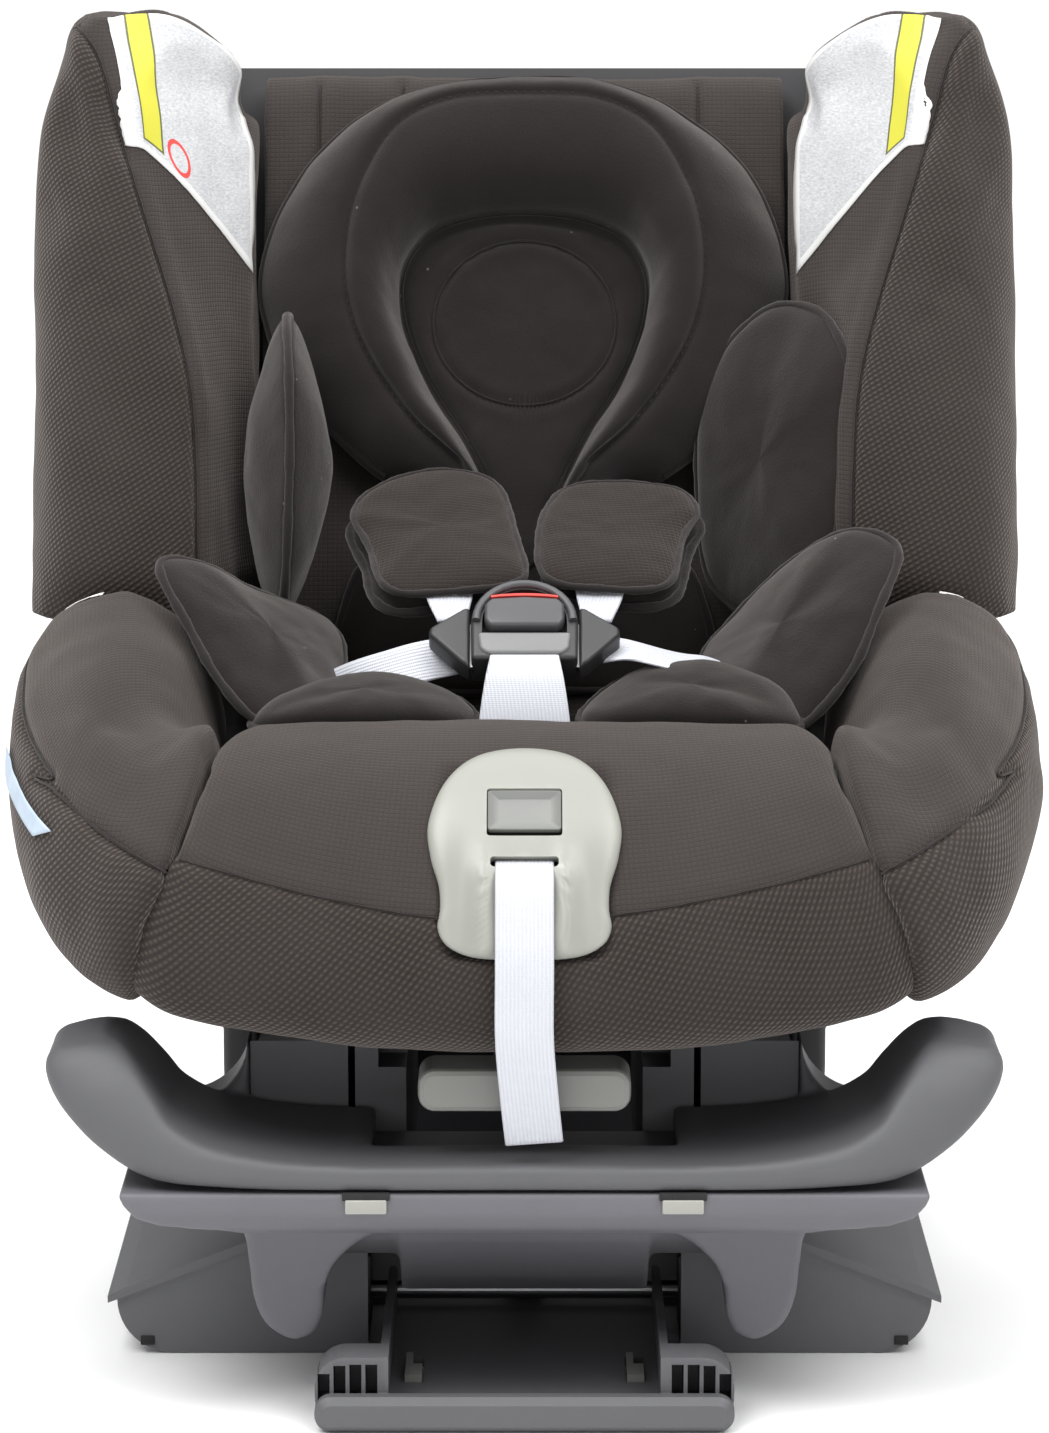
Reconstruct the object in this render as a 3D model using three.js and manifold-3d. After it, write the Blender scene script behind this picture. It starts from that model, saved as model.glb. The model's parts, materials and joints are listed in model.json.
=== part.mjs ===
// Convertible child car seat: a reclining bucket seat with a five-point harness and newborn insert, on a belted base
// with a fold-down prop foot. Millimetres, +Z up, front of the seat towards -Y, origin at bottom centre.
import * as THREE from "three";
import { mergeVertices } from "three/addons/utils/BufferGeometryUtils.js";
import Module from "manifold-3d";

const wasm = await Module();
wasm.setup();

// ---------------------------------------------------------------- driving dimensions
const GAP = 0.4; // clearance between neighbouring solids
const SIDES = [["left", -1], ["right", 1]];

const RECLINE = { y: -20, z: 470 }; // centre of the arc that the seat slides along when it reclines
const CRADLE_R = 349; // top of the base's arc tracks
const SKID_R = 348.5; // underside of the seat shell's skids
const ROLLER_R = 362.7; // centre of the rollers in the cheek slots

const COVER = 18; // foam and cover over the shell
const SHELL_WALL = 4;
const BACK_HALF = 118; // half width of the back between the wings
const NOSE_HALF = 152; // half width of the front cushion
const SEAM_HALF = 132; // half width of the cushion between the thigh bolsters

const PAN = { front: -130, rear: 200, half: 177, edge: 24, ridge: 46, ridgeHalf: 119.5, corner: 24, wall: 3.5 };
const DECK = { front: -238, rear: -133.4, part: 101.5 };
const CHEEK = { inner: 76, outer: 118, front: -132, rear: 125, wall: 4 };
const TRACK = { inner: 51, outer: 73, front: -131, rear: 118 };
const FOOT = { hingeY: -80, hingeZ: 14, half: 87, front: -243, blockRear: -214, plateHalf: 60, height: 30 };
const LOBE = { inner: 84, outer: 114, front: -198, rear: -160, tip: 27 };
const PAD_SPOTS = [[-130, -104], [130, -104], [-130, 170], [130, 170]];
const SCREW_SPOTS = [[-96, -112], [96, -112], [-96, 112], [96, 112]];
const STRAP = { width: 24, thick: 1.6 };
const HARNESS_SLOTS = [348, 396, 444]; // heights of the three pairs of shoulder strap slots

const SLOPE = (188 - 72) / (538 - 226); // lean of the back, rearwards per unit of height
const backY = (z) => 72 + SLOPE * (z - 226); // the sitting surface of the back

// Sitting surface in the Y-Z plane, from the top of the back, through the pan, over the front crest and under it.
const SEAT_LINE = [
  [188, 538], [151, 438], [114, 339], [90, 274], [70, 230], [28, 215], [-40, 224], [-100, 252],
  [-148, 281], [-190, 274], [-224, 240], [-242, 200], [-240, 170], [-218, 154], [-186, 158],
];

// ---------------------------------------------------------------- solids from meshes, and back
function solid(geometry) {
  const bare = new THREE.BufferGeometry();
  const flat = geometry.index ? geometry.toNonIndexed() : geometry;
  bare.setAttribute("position", flat.getAttribute("position"));
  const merged = mergeVertices(bare, 1e-3);
  const triVerts = new Uint32Array(merged.index.array);
  const vertProperties = new Float32Array(merged.attributes.position.array);
  const made = new wasm.Manifold(new wasm.Mesh({ numProp: 3, vertProperties, triVerts }));
  if (made.volume() >= 0) return made;
  for (let i = 0; i < triVerts.length; i += 3) {
    [triVerts[i + 1], triVerts[i + 2]] = [triVerts[i + 2], triVerts[i + 1]];
  }
  return new wasm.Manifold(new wasm.Mesh({ numProp: 3, vertProperties, triVerts }));
}

function geometryOf(manifold) {
  const mesh = manifold.getMesh();
  const positions = new Float32Array(mesh.numVert * 3);
  for (let i = 0; i < mesh.numVert; i++) {
    positions.set(mesh.vertProperties.subarray(i * mesh.numProp, i * mesh.numProp + 3), i * 3);
  }
  const geometry = new THREE.BufferGeometry();
  geometry.setAttribute("position", new THREE.BufferAttribute(positions, 3));
  geometry.setIndex(new THREE.BufferAttribute(mesh.triVerts, 1));
  return geometry;
}

const join = (...solids) => solids.reduce((a, b) => a.add(b));
const cut = (body, ...tools) => tools.reduce((a, b) => a.subtract(b), body);
const mirrored = (body) => body.mirror([1, 0, 0]);

// ---------------------------------------------------------------- shapes
const AXES = {
  x: new THREE.Matrix4().makeBasis(new THREE.Vector3(0, 1, 0), new THREE.Vector3(0, 0, 1), new THREE.Vector3(1, 0, 0)),
  y: new THREE.Matrix4().makeBasis(new THREE.Vector3(1, 0, 0), new THREE.Vector3(0, 0, 1), new THREE.Vector3(0, -1, 0)),
  z: new THREE.Matrix4(),
};

// Extrudes an outline along an axis. The outline is (y, z) along x, (x, z) along y and (x, y) along z.
function extrude(outline, axis, from, to, options = {}) {
  const shape = outline instanceof THREE.Shape ? outline : new THREE.Shape(outline.map(([a, b]) => new THREE.Vector2(a, b)));
  const bevel = options.bevel ?? 0;
  const geometry = new THREE.ExtrudeGeometry(shape, {
    depth: to - from - 2 * bevel,
    bevelEnabled: bevel > 0,
    bevelSize: bevel,
    bevelThickness: bevel,
    bevelOffset: -bevel,
    bevelSegments: options.segments ?? 2,
    curveSegments: options.curve ?? 6,
  });
  geometry.applyMatrix4(AXES[axis]);
  const start = axis === "y" ? -(from + bevel) - (to - from - 2 * bevel) : from + bevel;
  const move = { x: [start, 0, 0], y: [0, -start, 0], z: [0, 0, start] }[axis];
  geometry.translate(...move);
  return solid(geometry);
}

const box = (x0, x1, y0, y1, z0, z1) =>
  solid(new THREE.BoxGeometry(x1 - x0, y1 - y0, z1 - z0).translate((x0 + x1) / 2, (y0 + y1) / 2, (z0 + z1) / 2));

// A cylinder along x.
function rod(radius, x0, x1, y, z, sides = 20) {
  const geometry = new THREE.CylinderGeometry(radius, radius, x1 - x0, sides);
  geometry.rotateZ(Math.PI / 2).translate((x0 + x1) / 2, y, z);
  return solid(geometry);
}

// A rounded rectangle, as a shape centred on (cx, cy).
function roundedBox(cx, cy, width, height, radius) {
  const [w, h, r] = [width / 2, height / 2, radius];
  const shape = new THREE.Shape();
  shape.moveTo(cx - w + r, cy - h);
  shape.lineTo(cx + w - r, cy - h);
  shape.absarc(cx + w - r, cy - h + r, r, -Math.PI / 2, 0);
  shape.lineTo(cx + w, cy + h - r);
  shape.absarc(cx + w - r, cy + h - r, r, 0, Math.PI / 2);
  shape.lineTo(cx - w + r, cy + h);
  shape.absarc(cx - w + r, cy + h - r, r, Math.PI / 2, Math.PI);
  shape.lineTo(cx - w, cy - h + r);
  shape.absarc(cx - w + r, cy - h + r, r, Math.PI, 1.5 * Math.PI);
  return shape;
}

const spline = (points, closed = false) =>
  new THREE.CatmullRomCurve3(points.map(([x, y, z = 0]) => new THREE.Vector3(x, y, z)), closed, "catmullrom", 0.5);

// A smooth closed outline through a few corner points.
function smoothOutline(points, steps) {
  return spline(points, true).getPoints(steps).slice(0, -1).map((p) => [p.x, p.y]);
}

// Joins rings of equal length into a closed solid with flat fans at both ends.
function loft(rings) {
  const around = rings[0].length;
  const points = rings.flat();
  const first = points.push(average(rings[0])) - 1;
  const last = points.push(average(rings.at(-1))) - 1;
  const index = [];
  for (let r = 0; r < rings.length - 1; r++) {
    for (let i = 0; i < around; i++) {
      const [a, b] = [r * around + i, r * around + ((i + 1) % around)];
      const [c, d] = [a + around, b + around];
      index.push(a, b, d, a, d, c);
    }
  }
  const top = (rings.length - 1) * around;
  for (let i = 0; i < around; i++) {
    const next = (i + 1) % around;
    index.push(first, next, i, last, top + i, top + next);
  }
  const geometry = new THREE.BufferGeometry();
  geometry.setAttribute("position", new THREE.Float32BufferAttribute(points.flatMap((p) => [p.x, p.y, p.z]), 3));
  geometry.setIndex(index);
  return solid(geometry);
}

function average(ring) {
  return ring.reduce((sum, p) => sum.add(p), new THREE.Vector3()).divideScalar(ring.length);
}

// Lofts smoothly through stations, each a short closed ring of 3-D control points.
function smoothLoft(stations, around, along) {
  const rails = stations[0].map((_, k) => spline(stations.map((ring) => ring[k])));
  const rings = [];
  for (let s = 0; s <= along; s++) {
    const control = rails.map((rail) => rail.getPoint(s / along)).map((p) => [p.x, p.y, p.z]);
    const curve = spline(control, true);
    rings.push(Array.from({ length: around }, (_, i) => curve.getPoint(i / around)));
  }
  return loft(rings);
}

// A line in a plane, moved sideways by an offset: positive is to the right of its direction.
function offsetLine(points, offset) {
  return points.map(([a, b], i) => {
    const [a0, b0] = points[Math.max(0, i - 1)];
    const [a1, b1] = points[Math.min(points.length - 1, i + 1)];
    const length = Math.hypot(a1 - a0, b1 - b0);
    return [a + (offset * (b1 - b0)) / length, b - (offset * (a1 - a0)) / length];
  });
}

// The strip between two offsets of one line.
const band = (points, near, far) => [...offsetLine(points, near), ...offsetLine(points, far).reverse()];

// Part of the sitting line, sampled smoothly; from and to count its corner points.
function seatLine(from, to, steps) {
  const curve = spline(SEAT_LINE);
  const last = SEAT_LINE.length - 1;
  return Array.from({ length: steps + 1 }, (_, i) => {
    const p = curve.getPoint((from + ((to - from) * i) / steps) / last);
    return [p.x, p.y];
  });
}

// A sector of a ring about the recline centre, as a (y, z) outline. Angles are in degrees forward of straight down.
function arcBand(inner, outer, rearAngle, frontAngle, steps = 14) {
  const at = (radius, degrees) => {
    const a = (degrees * Math.PI) / 180;
    return [RECLINE.y - radius * Math.sin(a), RECLINE.z - radius * Math.cos(a)];
  };
  const angles = Array.from({ length: steps + 1 }, (_, i) => rearAngle + ((frontAngle - rearAngle) * i) / steps);
  return [...angles.map((a) => at(inner, a)), ...angles.reverse().map((a) => at(outer, a))];
}

// ---------------------------------------------------------------- materials
const plastic = (color, roughness = 0.55) => new THREE.MeshStandardMaterial({ color, roughness, metalness: 0 });
const MATERIALS = {
  base: plastic(0x6b6b70),
  darkPlastic: plastic(0x3a3a3d),
  trim: plastic(0xd4d6cc, 0.35),
  handle: plastic(0xbfc0b6, 0.4),
  steel: new THREE.MeshStandardMaterial({ color: 0xb8babc, roughness: 0.3, metalness: 1 }),
  rubber: plastic(0x1c1c1d, 0.9),
  cover: plastic(0x332e2b, 0.95),
  insert: plastic(0x242221, 1),
  webbing: plastic(0xe8eaee, 0.7),
  red: plastic(0xa8322c, 0.4),
};

const seat = new THREE.Group();
function add(name, body, material) {
  const mesh = new THREE.Mesh(geometryOf(body), MATERIALS[material]);
  mesh.name = name;
  seat.add(mesh);
  return body;
}

// ---------------------------------------------------------------- base: pan, covers, beam, housing
// Cross-section of the pan in the X-Z plane: flat floor, rounded outer corners and a roof-shaped top.
function panSection(inset) {
  const half = PAN.half - inset;
  const floor = inset;
  const r = PAN.corner - inset * 0.5;
  const shape = new THREE.Shape();
  shape.moveTo(-half + r, floor);
  shape.lineTo(half - r, floor);
  shape.absarc(half - r, floor + r, r, -Math.PI / 2, 0);
  const top = inset > 0 ? 30 : 0;
  shape.lineTo(half, PAN.edge + top);
  shape.lineTo(PAN.ridgeHalf, PAN.ridge + top);
  shape.lineTo(-PAN.ridgeHalf, PAN.ridge + top);
  shape.lineTo(-half, PAN.edge + top);
  shape.lineTo(-half, floor + r);
  shape.absarc(-half + r, floor + r, r, Math.PI, 1.5 * Math.PI);
  return shape;
}

function basePan() {
  const outer = extrude(panSection(0), "y", PAN.front, PAN.rear);
  const inner = extrude(panSection(PAN.wall), "y", PAN.front + PAN.wall, PAN.rear - PAN.wall);
  const footTunnel = box(-FOOT.plateHalf - 8, FOOT.plateHalf + 8, PAN.front - 5, FOOT.hingeY + 22, -5, 60);
  const ears = SIDES.map(([, s]) => {
    const x = s * (FOOT.plateHalf + 11);
    return box(x - 3, x + 3, FOOT.hingeY - 12, FOOT.hingeY + 12, 1, 32);
  });
  const tub = join(cut(outer, inner, footTunnel), ...ears);
  const bores = SCREW_SPOTS.map(([x, y]) => baseScrew(x, y, 3.8, -1, 2.1));
  const padSeats = PAD_SPOTS.map(([x, y]) => box(x - 14.4, x + 14.4, y - 10.4, y + 10.4, -1, 1.9));
  return cut(tub, rod(4.3, -90, 90, FOOT.hingeY, FOOT.hingeZ), ...padSeats, ...bores);
}

// The roof plate between the tower and the pan's outer edge.
function sideCover() {
  const lip = 4;
  const outline = [
    [PAN.ridgeHalf + GAP, PAN.ridge + GAP], [PAN.half + lip, PAN.edge - 1.5 + GAP],
    [PAN.half + lip, PAN.edge + 2], [PAN.half - 4, PAN.edge + 6], [PAN.ridgeHalf + GAP, PAN.ridge + 4.5],
  ];
  return extrude(outline, "y", PAN.front - 2, PAN.rear);
}

// Moulding under the deck: a front beam that falls back to the pan, with two hanging lobes.
function frontBeam() {
  const top = DECK.part - 2 * GAP;
  const profile = [[DECK.front + 1, top], [DECK.front + 2, 86], [-228, 80], [-204, 78], [-133, 56], [-133, top]];
  const hollow = [[DECK.front + 6, top + 1], [DECK.front + 6, 88], [-206, 83], [-138, 62], [-138, top + 1]];
  const body = cut(extrude(profile, "x", -168, 168), extrude(hollow, "x", -163, 163));
  const taper = [[-190, 40], [-190, 104], [-170, 104], [-166, 92], [-150, 82], [-150, 40]];
  const trimmed = cut(body, extrude(taper, "y", -250, -120), mirrored(extrude(taper, "y", -250, -120)));
  const lobes = SIDES.map(([, s]) => lobe(s));
  return join(trimmed, ...lobes);
}

// A round-ended finger that hangs from the beam, wider where it joins it.
function lobe(side) {
  const [mid, half] = [(LOBE.inner + LOBE.outer) / 2, (LOBE.outer - LOBE.inner) / 2];
  const shape = new THREE.Shape();
  shape.moveTo(mid - half - 4, 84);
  shape.lineTo(mid - half, 60);
  shape.lineTo(mid - half, LOBE.tip + half);
  shape.absarc(mid, LOBE.tip + half, half, Math.PI, 2 * Math.PI);
  shape.lineTo(mid + half, 62);
  shape.lineTo(mid + half + 10, 84);
  const solidLobe = extrude(shape, "y", LOBE.front, LOBE.rear, { bevel: 5, curve: 6 });
  return side > 0 ? solidLobe : mirrored(solidLobe);
}

// Control ring across the deck or a horn: centre (x, z), lean of the section, thickness, and its reach along y.
function deckStation(x, z, lean, thick, front, rear) {
  const a = (lean * Math.PI) / 180;
  const [nx, nz] = [-Math.sin(a), Math.cos(a)]; // across the section's thickness
  const at = (t, y) => [x + nx * t, y, z + nz * t];
  const h = thick / 2;
  const r = Math.min(h, 9);
  return [at(-h, front + r), at(0, front), at(h, front + r), at(h, (front + rear) / 2), at(h, rear - r), at(0, rear),
    at(-h, rear - r), at(-h, (front + rear) / 2)];
}

// Deck with its two upswept belt horns: one smooth bow, left tip to right tip.
function deckBow() {
  const half = [
    deckStation(0, 107, 0, 11, DECK.front, DECK.rear),
    deckStation(80, 107, 0, 11, DECK.front, DECK.rear),
    deckStation(128, 110, 6, 17, DECK.front, DECK.rear),
    deckStation(158, 121, 35, 27, -234, DECK.rear),
    deckStation(176, 141, 62, 33, -228, -140),
    deckStation(185, 160, 72, 33, -222, -148),
    deckStation(187, 167, 74, 20, -214, -155),
  ];
  const other = half.slice(1).reverse().map((ring) => flipRing(ring));
  return smoothLoft([...other, ...half], 16, 26);
}

const flipRing = (ring) => {
  const swapped = [ring[6], ring[5], ring[4], ring[3], ring[2], ring[1], ring[0], ring[7]].reverse();
  return [...swapped.slice(1), swapped[0]].map(([x, y, z]) => [-x, y, z]);
};

// One hollow cheek of the tower, open below, with a concave arc top and the slot that its roller runs in.
function cheek() {
  const { inner, outer, front, rear, wall } = CHEEK;
  const foot = PAN.ridge + GAP;
  const outside = box(inner, outer, front, rear, foot, 190);
  const inside = box(inner + wall, outer - wall, front + wall, rear - wall, foot - 1, 190);
  const top = extrude(arcBand(CRADLE_R, CRADLE_R + wall, -26, 22), "x", inner, outer);
  const roof = top.intersect(outside);
  const arc = extrude(arcBand(200, CRADLE_R, -40, 40), "x", inner - 1, outer + 1);
  const slot = extrude(arcBand(ROLLER_R - 7.2, ROLLER_R + 7.2, -12.5, 8), "x", outer - wall - 1, outer + 1);
  return cut(join(cut(outside, inside), roof), arc, slot);
}

// The web beside a cheek, with the concave flare at its outer side.
function flare() {
  const outline = new THREE.Shape();
  const inner = CHEEK.outer + GAP;
  outline.moveTo(inner, DECK.part + 0.5);
  outline.lineTo(150, DECK.part + 0.5);
  outline.lineTo(150, 112);
  outline.quadraticCurveTo(124, 114, inner + 3, 142);
  outline.lineTo(inner, 142);
  return extrude(outline, "y", DECK.rear - 6, -104, { curve: 8 });
}

// The moulding with the two belt horns, open in the middle behind the recline handle.
function beltDeck() {
  const well = box(-64, 64, -196, DECK.rear + 10, 60, 130);
  const frontWall = box(-CHEEK.inner - 2, CHEEK.inner + 2, -199.5, -196, 92, 108);
  return join(cut(deckBow(), well), frontWall, flare(), mirrored(flare()));
}

// The two cheeks of the tower and the wall that joins them at the rear.
function baseTower() {
  const rearWall = box(-CHEEK.inner - 2, CHEEK.inner + 2, CHEEK.rear - CHEEK.wall, CHEEK.rear, PAN.ridge + GAP, 112);
  return join(cheek(), mirrored(cheek()), rearWall);
}

function recliningTrack(side) {
  const { inner, outer, front, rear } = TRACK;
  const block = box(inner, outer, front, rear, PAN.ridge + 3, 190);
  const step = box(inner - 1, inner + 12, front - 1, front + 26, 128, 200);
  const arc = extrude(arcBand(200, CRADLE_R, -40, 40), "x", inner - 1, outer + 1);
  const hollow = box(inner + 3, outer - 3, front + 4, rear - 4, 0, 108);
  const track = cut(block, arc, step, hollow);
  return side > 0 ? track : mirrored(track);
}

// Rubber foot pressed into a shallow seat under the pan.
const rubberPad = (x, y) => box(x - 14, x + 14, y - 10, y + 10, 0, 1.5);
const baseScrew = (x, y, radius = 3.4, z0 = 0.3, z1 = 1.7) =>
  solid(new THREE.CylinderGeometry(radius, radius, z1 - z0, 12).rotateX(Math.PI / 2).translate(x, y, (z0 + z1) / 2));

// ---------------------------------------------------------------- prop foot
function propFoot() {
  const { half, front, blockRear, plateHalf, height, hingeY } = FOOT;
  const bar = roundedBox(0, 7.5, 2 * half, 15, 7);
  const lip = extrude(bar, "y", front, blockRear, { bevel: 3, segments: 1, curve: 4 });
  const pocketOutline = roundedBox(0, height / 2, 2 * half, height, 13);
  const block = extrude(pocketOutline, "y", front + 9, blockRear);
  const centre = box(-plateHalf + 3.5, plateHalf - 3.5, front + 8, blockRear + 1, 5, height + 5);
  const ribPitch = 6.6;
  const pockets = [];
  for (let i = 0; i < 4; i++) {
    const x = plateHalf + 1 + i * ribPitch;
    const top = height - [3, 3, 3.5, 7][i];
    pockets.push(box(x, x + ribPitch - 1.6, front + 8, blockRear - 2, 10, top));
  }
  const grips = pockets.flatMap((p) => [p, mirrored(p)]);
  const plate = box(-plateHalf, plateHalf, blockRear - 2, hingeY + 8, 3, 7);
  const wallProfile = [[blockRear - 2, 3], [blockRear - 2, height], [hingeY - 20, 26], [hingeY + 8, 22], [hingeY + 8, 3]];
  const walls = SIDES.map(([, s]) => extrude(wallProfile, "x", s > 0 ? plateHalf - 3.5 : -plateHalf, s > 0 ? plateHalf : -plateHalf + 3.5));
  const windows = SIDES.map(([, s]) => box(s * 47 - 4, s * 47 + 4, -195, -160, 0, 10));
  return cut(join(lip, block, plate, ...walls), centre, ...grips, ...windows, rod(4.3, -90, 90, hingeY, FOOT.hingeZ));
}

// Light spring clip that snaps through a window in the foot's floor.
function footClip(side) {
  const x = side * 47;
  return join(box(x - 3.6, x + 3.6, -194, -178, 2, 10), box(x - 3.6, x - 0.6, -178.5, -162, 2, 10));
}

// ---------------------------------------------------------------- seat shell
function seatShell() {
  const near = COVER + GAP;
  const far = near + SHELL_WALL;
  const top = [SEAT_LINE[0][0] + 2.6, SEAT_LINE[0][1] + 7];
  const backLine = [top, ...seatLine(0, 4, 10)];
  const back = extrude(band(backLine, -near, -far), "x", -200, 200);
  const panAndNose = extrude(band(seatLine(3.4, 14, 40), -near, -far), "x", -131, 131);
  const flangeLine = [[backY(300), 300], [backY(420), 420], [backY(545), 545]];
  const flanges = SIDES.map(([, s]) =>
    extrude(band(flangeLine, 12, far), "x", s > 0 ? 196 : -202, s > 0 ? 202 : -196));
  const troughLine = [[118, 194], [142, 191], [156, 181], [172, 173], [188, 176], [198, 185]];
  const trough = extrude(band(troughLine, 0, SHELL_WALL), "y", -120, 92);
  const spine = SIDES.flatMap(([, s]) => [62, 104].map((x) => backRib(s * x)));
  const skids = SIDES.flatMap(([, s]) => skid(s));
  const arms = SIDES.map(([, s]) => reclineArm(s));
  const body = join(back, panAndNose, ...flanges, trough, mirrored(trough), ...spine, ...skids, ...arms);
  return cut(body, ...shellSlots());
}

// Stiffening rib down the rear of the back.
function backRib(x) {
  const line = [[backY(225), 225], [backY(380), 380], [backY(538), 538]];
  return extrude(band(line, COVER + 2, COVER + 22), "x", x - 2, x + 2);
}

// Web and arc flange that ride on the base's track.
function skid(side) {
  const x = side * 62;
  const web = extrude([[-128, 235], [-128, 149], [-90, 133], [-20, 126], [50, 133], [104, 150], [104, 196], [60, 196], [-60, 210]], "x", x - 2.5, x + 2.5);
  const flange = extrude(arcBand(SKID_R - 5, SKID_R, -20, 18), "x", x - 9, x + 9);
  const bed = extrude(arcBand(SKID_R, SKID_R + 60, -40, 40), "x", x - 12, x + 12);
  const underPan = extrude(band(seatLine(4, 10, 20), -(COVER + GAP + 2), -(COVER + GAP + 90)), "x", x - 12, x + 12);
  return [cut(web, bed).intersect(underPan), flange];
}

// Arm outside each cheek that carries the roller.
function reclineArm(side) {
  const shape = new THREE.Shape();
  shape.moveTo(8, 197);
  shape.lineTo(12, 116);
  shape.absarc(38, 116, 22, Math.PI, 2 * Math.PI);
  shape.lineTo(66, 197);
  const arm = cut(extrude(shape, "x", 121, 136, { curve: 8 }), rod(4.3, 110, 140, 38, 112));
  return side > 0 ? arm : mirrored(arm);
}

const harnessSlot = (side, z) => box(side * 34 - 17, side * 34 + 17, 60, 260, z - 4, z + 4);

// Harness slots, crotch strap slot and adjuster opening.
function shellSlots() {
  const harness = HARNESS_SLOTS.flatMap((z) => SIDES.map(([, s]) => harnessSlot(s, z)));
  const crotch = box(-24, 24, -98, -88, 180, 260);
  const adjuster = box(-22, 22, -260, -150, 236, 262);
  return [...harness, crotch, adjuster];
}

function roller(side) {
  const body = join(rod(6.2, 107, 120.4, 38, 112), rod(4, 115, 141, 38, 112), rod(7.5, 136.6, 140, 38, 112));
  return side > 0 ? body : mirrored(body);
}

// ---------------------------------------------------------------- covers and foam
// Thigh bolster: stations along y, each ring in (x, z) from the outer bottom round over the top.
function thighBolster() {
  const ring = (y, points) => points.map(([x, z]) => [x, y, z]);
  const stations = [
    ring(72, [[196, 205], [212, 235], [208, 268], [180, 284], [152, 272], [142, 240], [152, 210], [174, 200]]),
    ring(36, [[199, 200], [221, 236], [214, 272], [182, 286], [150, 276], [138, 246], [152, 210], [174, 194]]),
    ring(8, [[200, 198], [224, 240], [214, 276], [181, 288], [149, 280], [136, 252], [152, 210], [174, 192]]),
    ring(-22, [[200, 196], [225, 246], [214, 296], [180, 316], [149, 304], [135, 268], [152, 212], [174, 190]]),
    ring(-60, [[200, 194], [225, 246], [214, 300], [179, 322], [149, 300], [135, 266], [152, 210], [174, 189]]),
    ring(-110, [[198, 190], [222, 238], [211, 288], [177, 308], [149, 296], [138, 258], [152, 204], [173, 187]]),
    ring(-165, [[190, 182], [210, 222], [202, 262], [174, 278], [152, 268], [146, 238], [154, 194], [170, 180]]),
    ring(-208, [[179, 178], [191, 204], [186, 232], [170, 244], [157, 236], [153, 214], [156, 190], [166, 177]]),
    ring(-230, [[170, 190], [175, 202], [172, 214], [166, 218], [160, 214], [158, 204], [160, 193], [165, 189]]),
  ];
  return smoothLoft(stations, 18, 13);
}

// Head and shoulder wing: stations along z, each ring in (x, distance in front of or behind the back surface).
function backWing() {
  const ring = (z, points) => points.map(([x, dy]) => [x, backY(z) + dy, z]);
  const full = [[194, 10], [219, -30], [220, -82], [200, -106], [166, -98], [140, -58], [122, -10], [150, 12]];
  const low = [[190, 10], [217, -25], [218, -72], [198, -92], [166, -88], [142, -56], [124, -10], [150, 12]];
  const upper = [[190, 10], [213, -32], [214, -80], [197, -102], [168, -94], [142, -56], [124, -10], [148, 12]];
  const crown = [[186, 8], [203, -28], [204, -64], [192, -82], [172, -76], [154, -48], [140, -10], [156, 8]];
  const tip = [[182, 2], [192, -24], [193, -48], [186, -62], [174, -58], [164, -38], [158, -10], [166, 4]];
  return smoothLoft([ring(294, low), ring(350, full), ring(430, full), ring(510, upper), ring(548, upper),
    ring(564, crown), ring(571, tip)], 18, 14);
}

const thigh = thighBolster();
const wing = backWing();

function seatCushion() {
  const body = extrude(band(seatLine(4.2, 14, 38), 0, -COVER), "x", -NOSE_HALF, NOSE_HALF);
  const sides = [[-0.8, 0, 0], [0, 0, 0.8], [0, -0.8, 0], [0, 0, -0.8]].flatMap((d) => {
    const moved = thigh.translate(d);
    return [moved, mirrored(moved)];
  });
  const beyond = box(SEAM_HALF + 2, 200, -140, 120, 150, 330);
  const slot = box(-24, 24, -98, -88, 180, 280);
  const trimOpening = box(-30, 30, -260, -150, 214, 268);
  return cut(body, ...sides, beyond, mirrored(beyond), slot, trimOpening);
}

function backPad() {
  const line = seatLine(0, 3.65, 12);
  const body = extrude(band(line, 0, -COVER), "x", -BACK_HALF, BACK_HALF);
  const slots = HARNESS_SLOTS.flatMap((z) => SIDES.map(([, s]) => harnessSlot(s, z)));
  return cut(body, ...slots);
}

// A flat-backed pad in a plane parallel to the back: outline in (x, distance up the slope from a base height).
const LEAN = Math.atan(SLOPE);
function onBack(outline, from, to, baseZ, bevel) {
  const body = extrude(outline, "z", from, to, { bevel, segments: 2, curve: 8 });
  const place = new THREE.Matrix4().makeTranslation(0, backY(baseZ), baseZ)
    .multiply(new THREE.Matrix4().makeRotationX(Math.PI / 2 - LEAN));
  return body.transform(place.elements);
}

// Horseshoe head pad: outer outline less the keyhole in the middle.
const HEAD_BASE = 364;
function headPad() {
  const outer = [[0, 182], [70, 170], [106, 128], [111, 76], [94, 30], [60, 2], [0, -4], [-60, 2], [-94, 30],
    [-111, 76], [-106, 128], [-70, 170]];
  const keyhole = [[0, 122], [38, 108], [53, 68], [38, 32], [20, 8], [14, -24], [-14, -24], [-20, 8], [-38, 32],
    [-53, 68], [-38, 108]];
  const body = onBack(smoothOutline(outer, 32), 1, 50, HEAD_BASE, 9);
  return cut(body, onBack(smoothOutline(keyhole, 30), -5, 60, HEAD_BASE, 0));
}

function headCushion() {
  const outline = [[0, 119], [36, 105], [50, 68], [35, 33], [17, 8], [11, -8], [-11, -8], [-17, 8], [-35, 33],
    [-50, 68], [-36, 105]];
  return onBack(smoothOutline(outline, 28), 1, 20, HEAD_BASE, 5);
}

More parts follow.
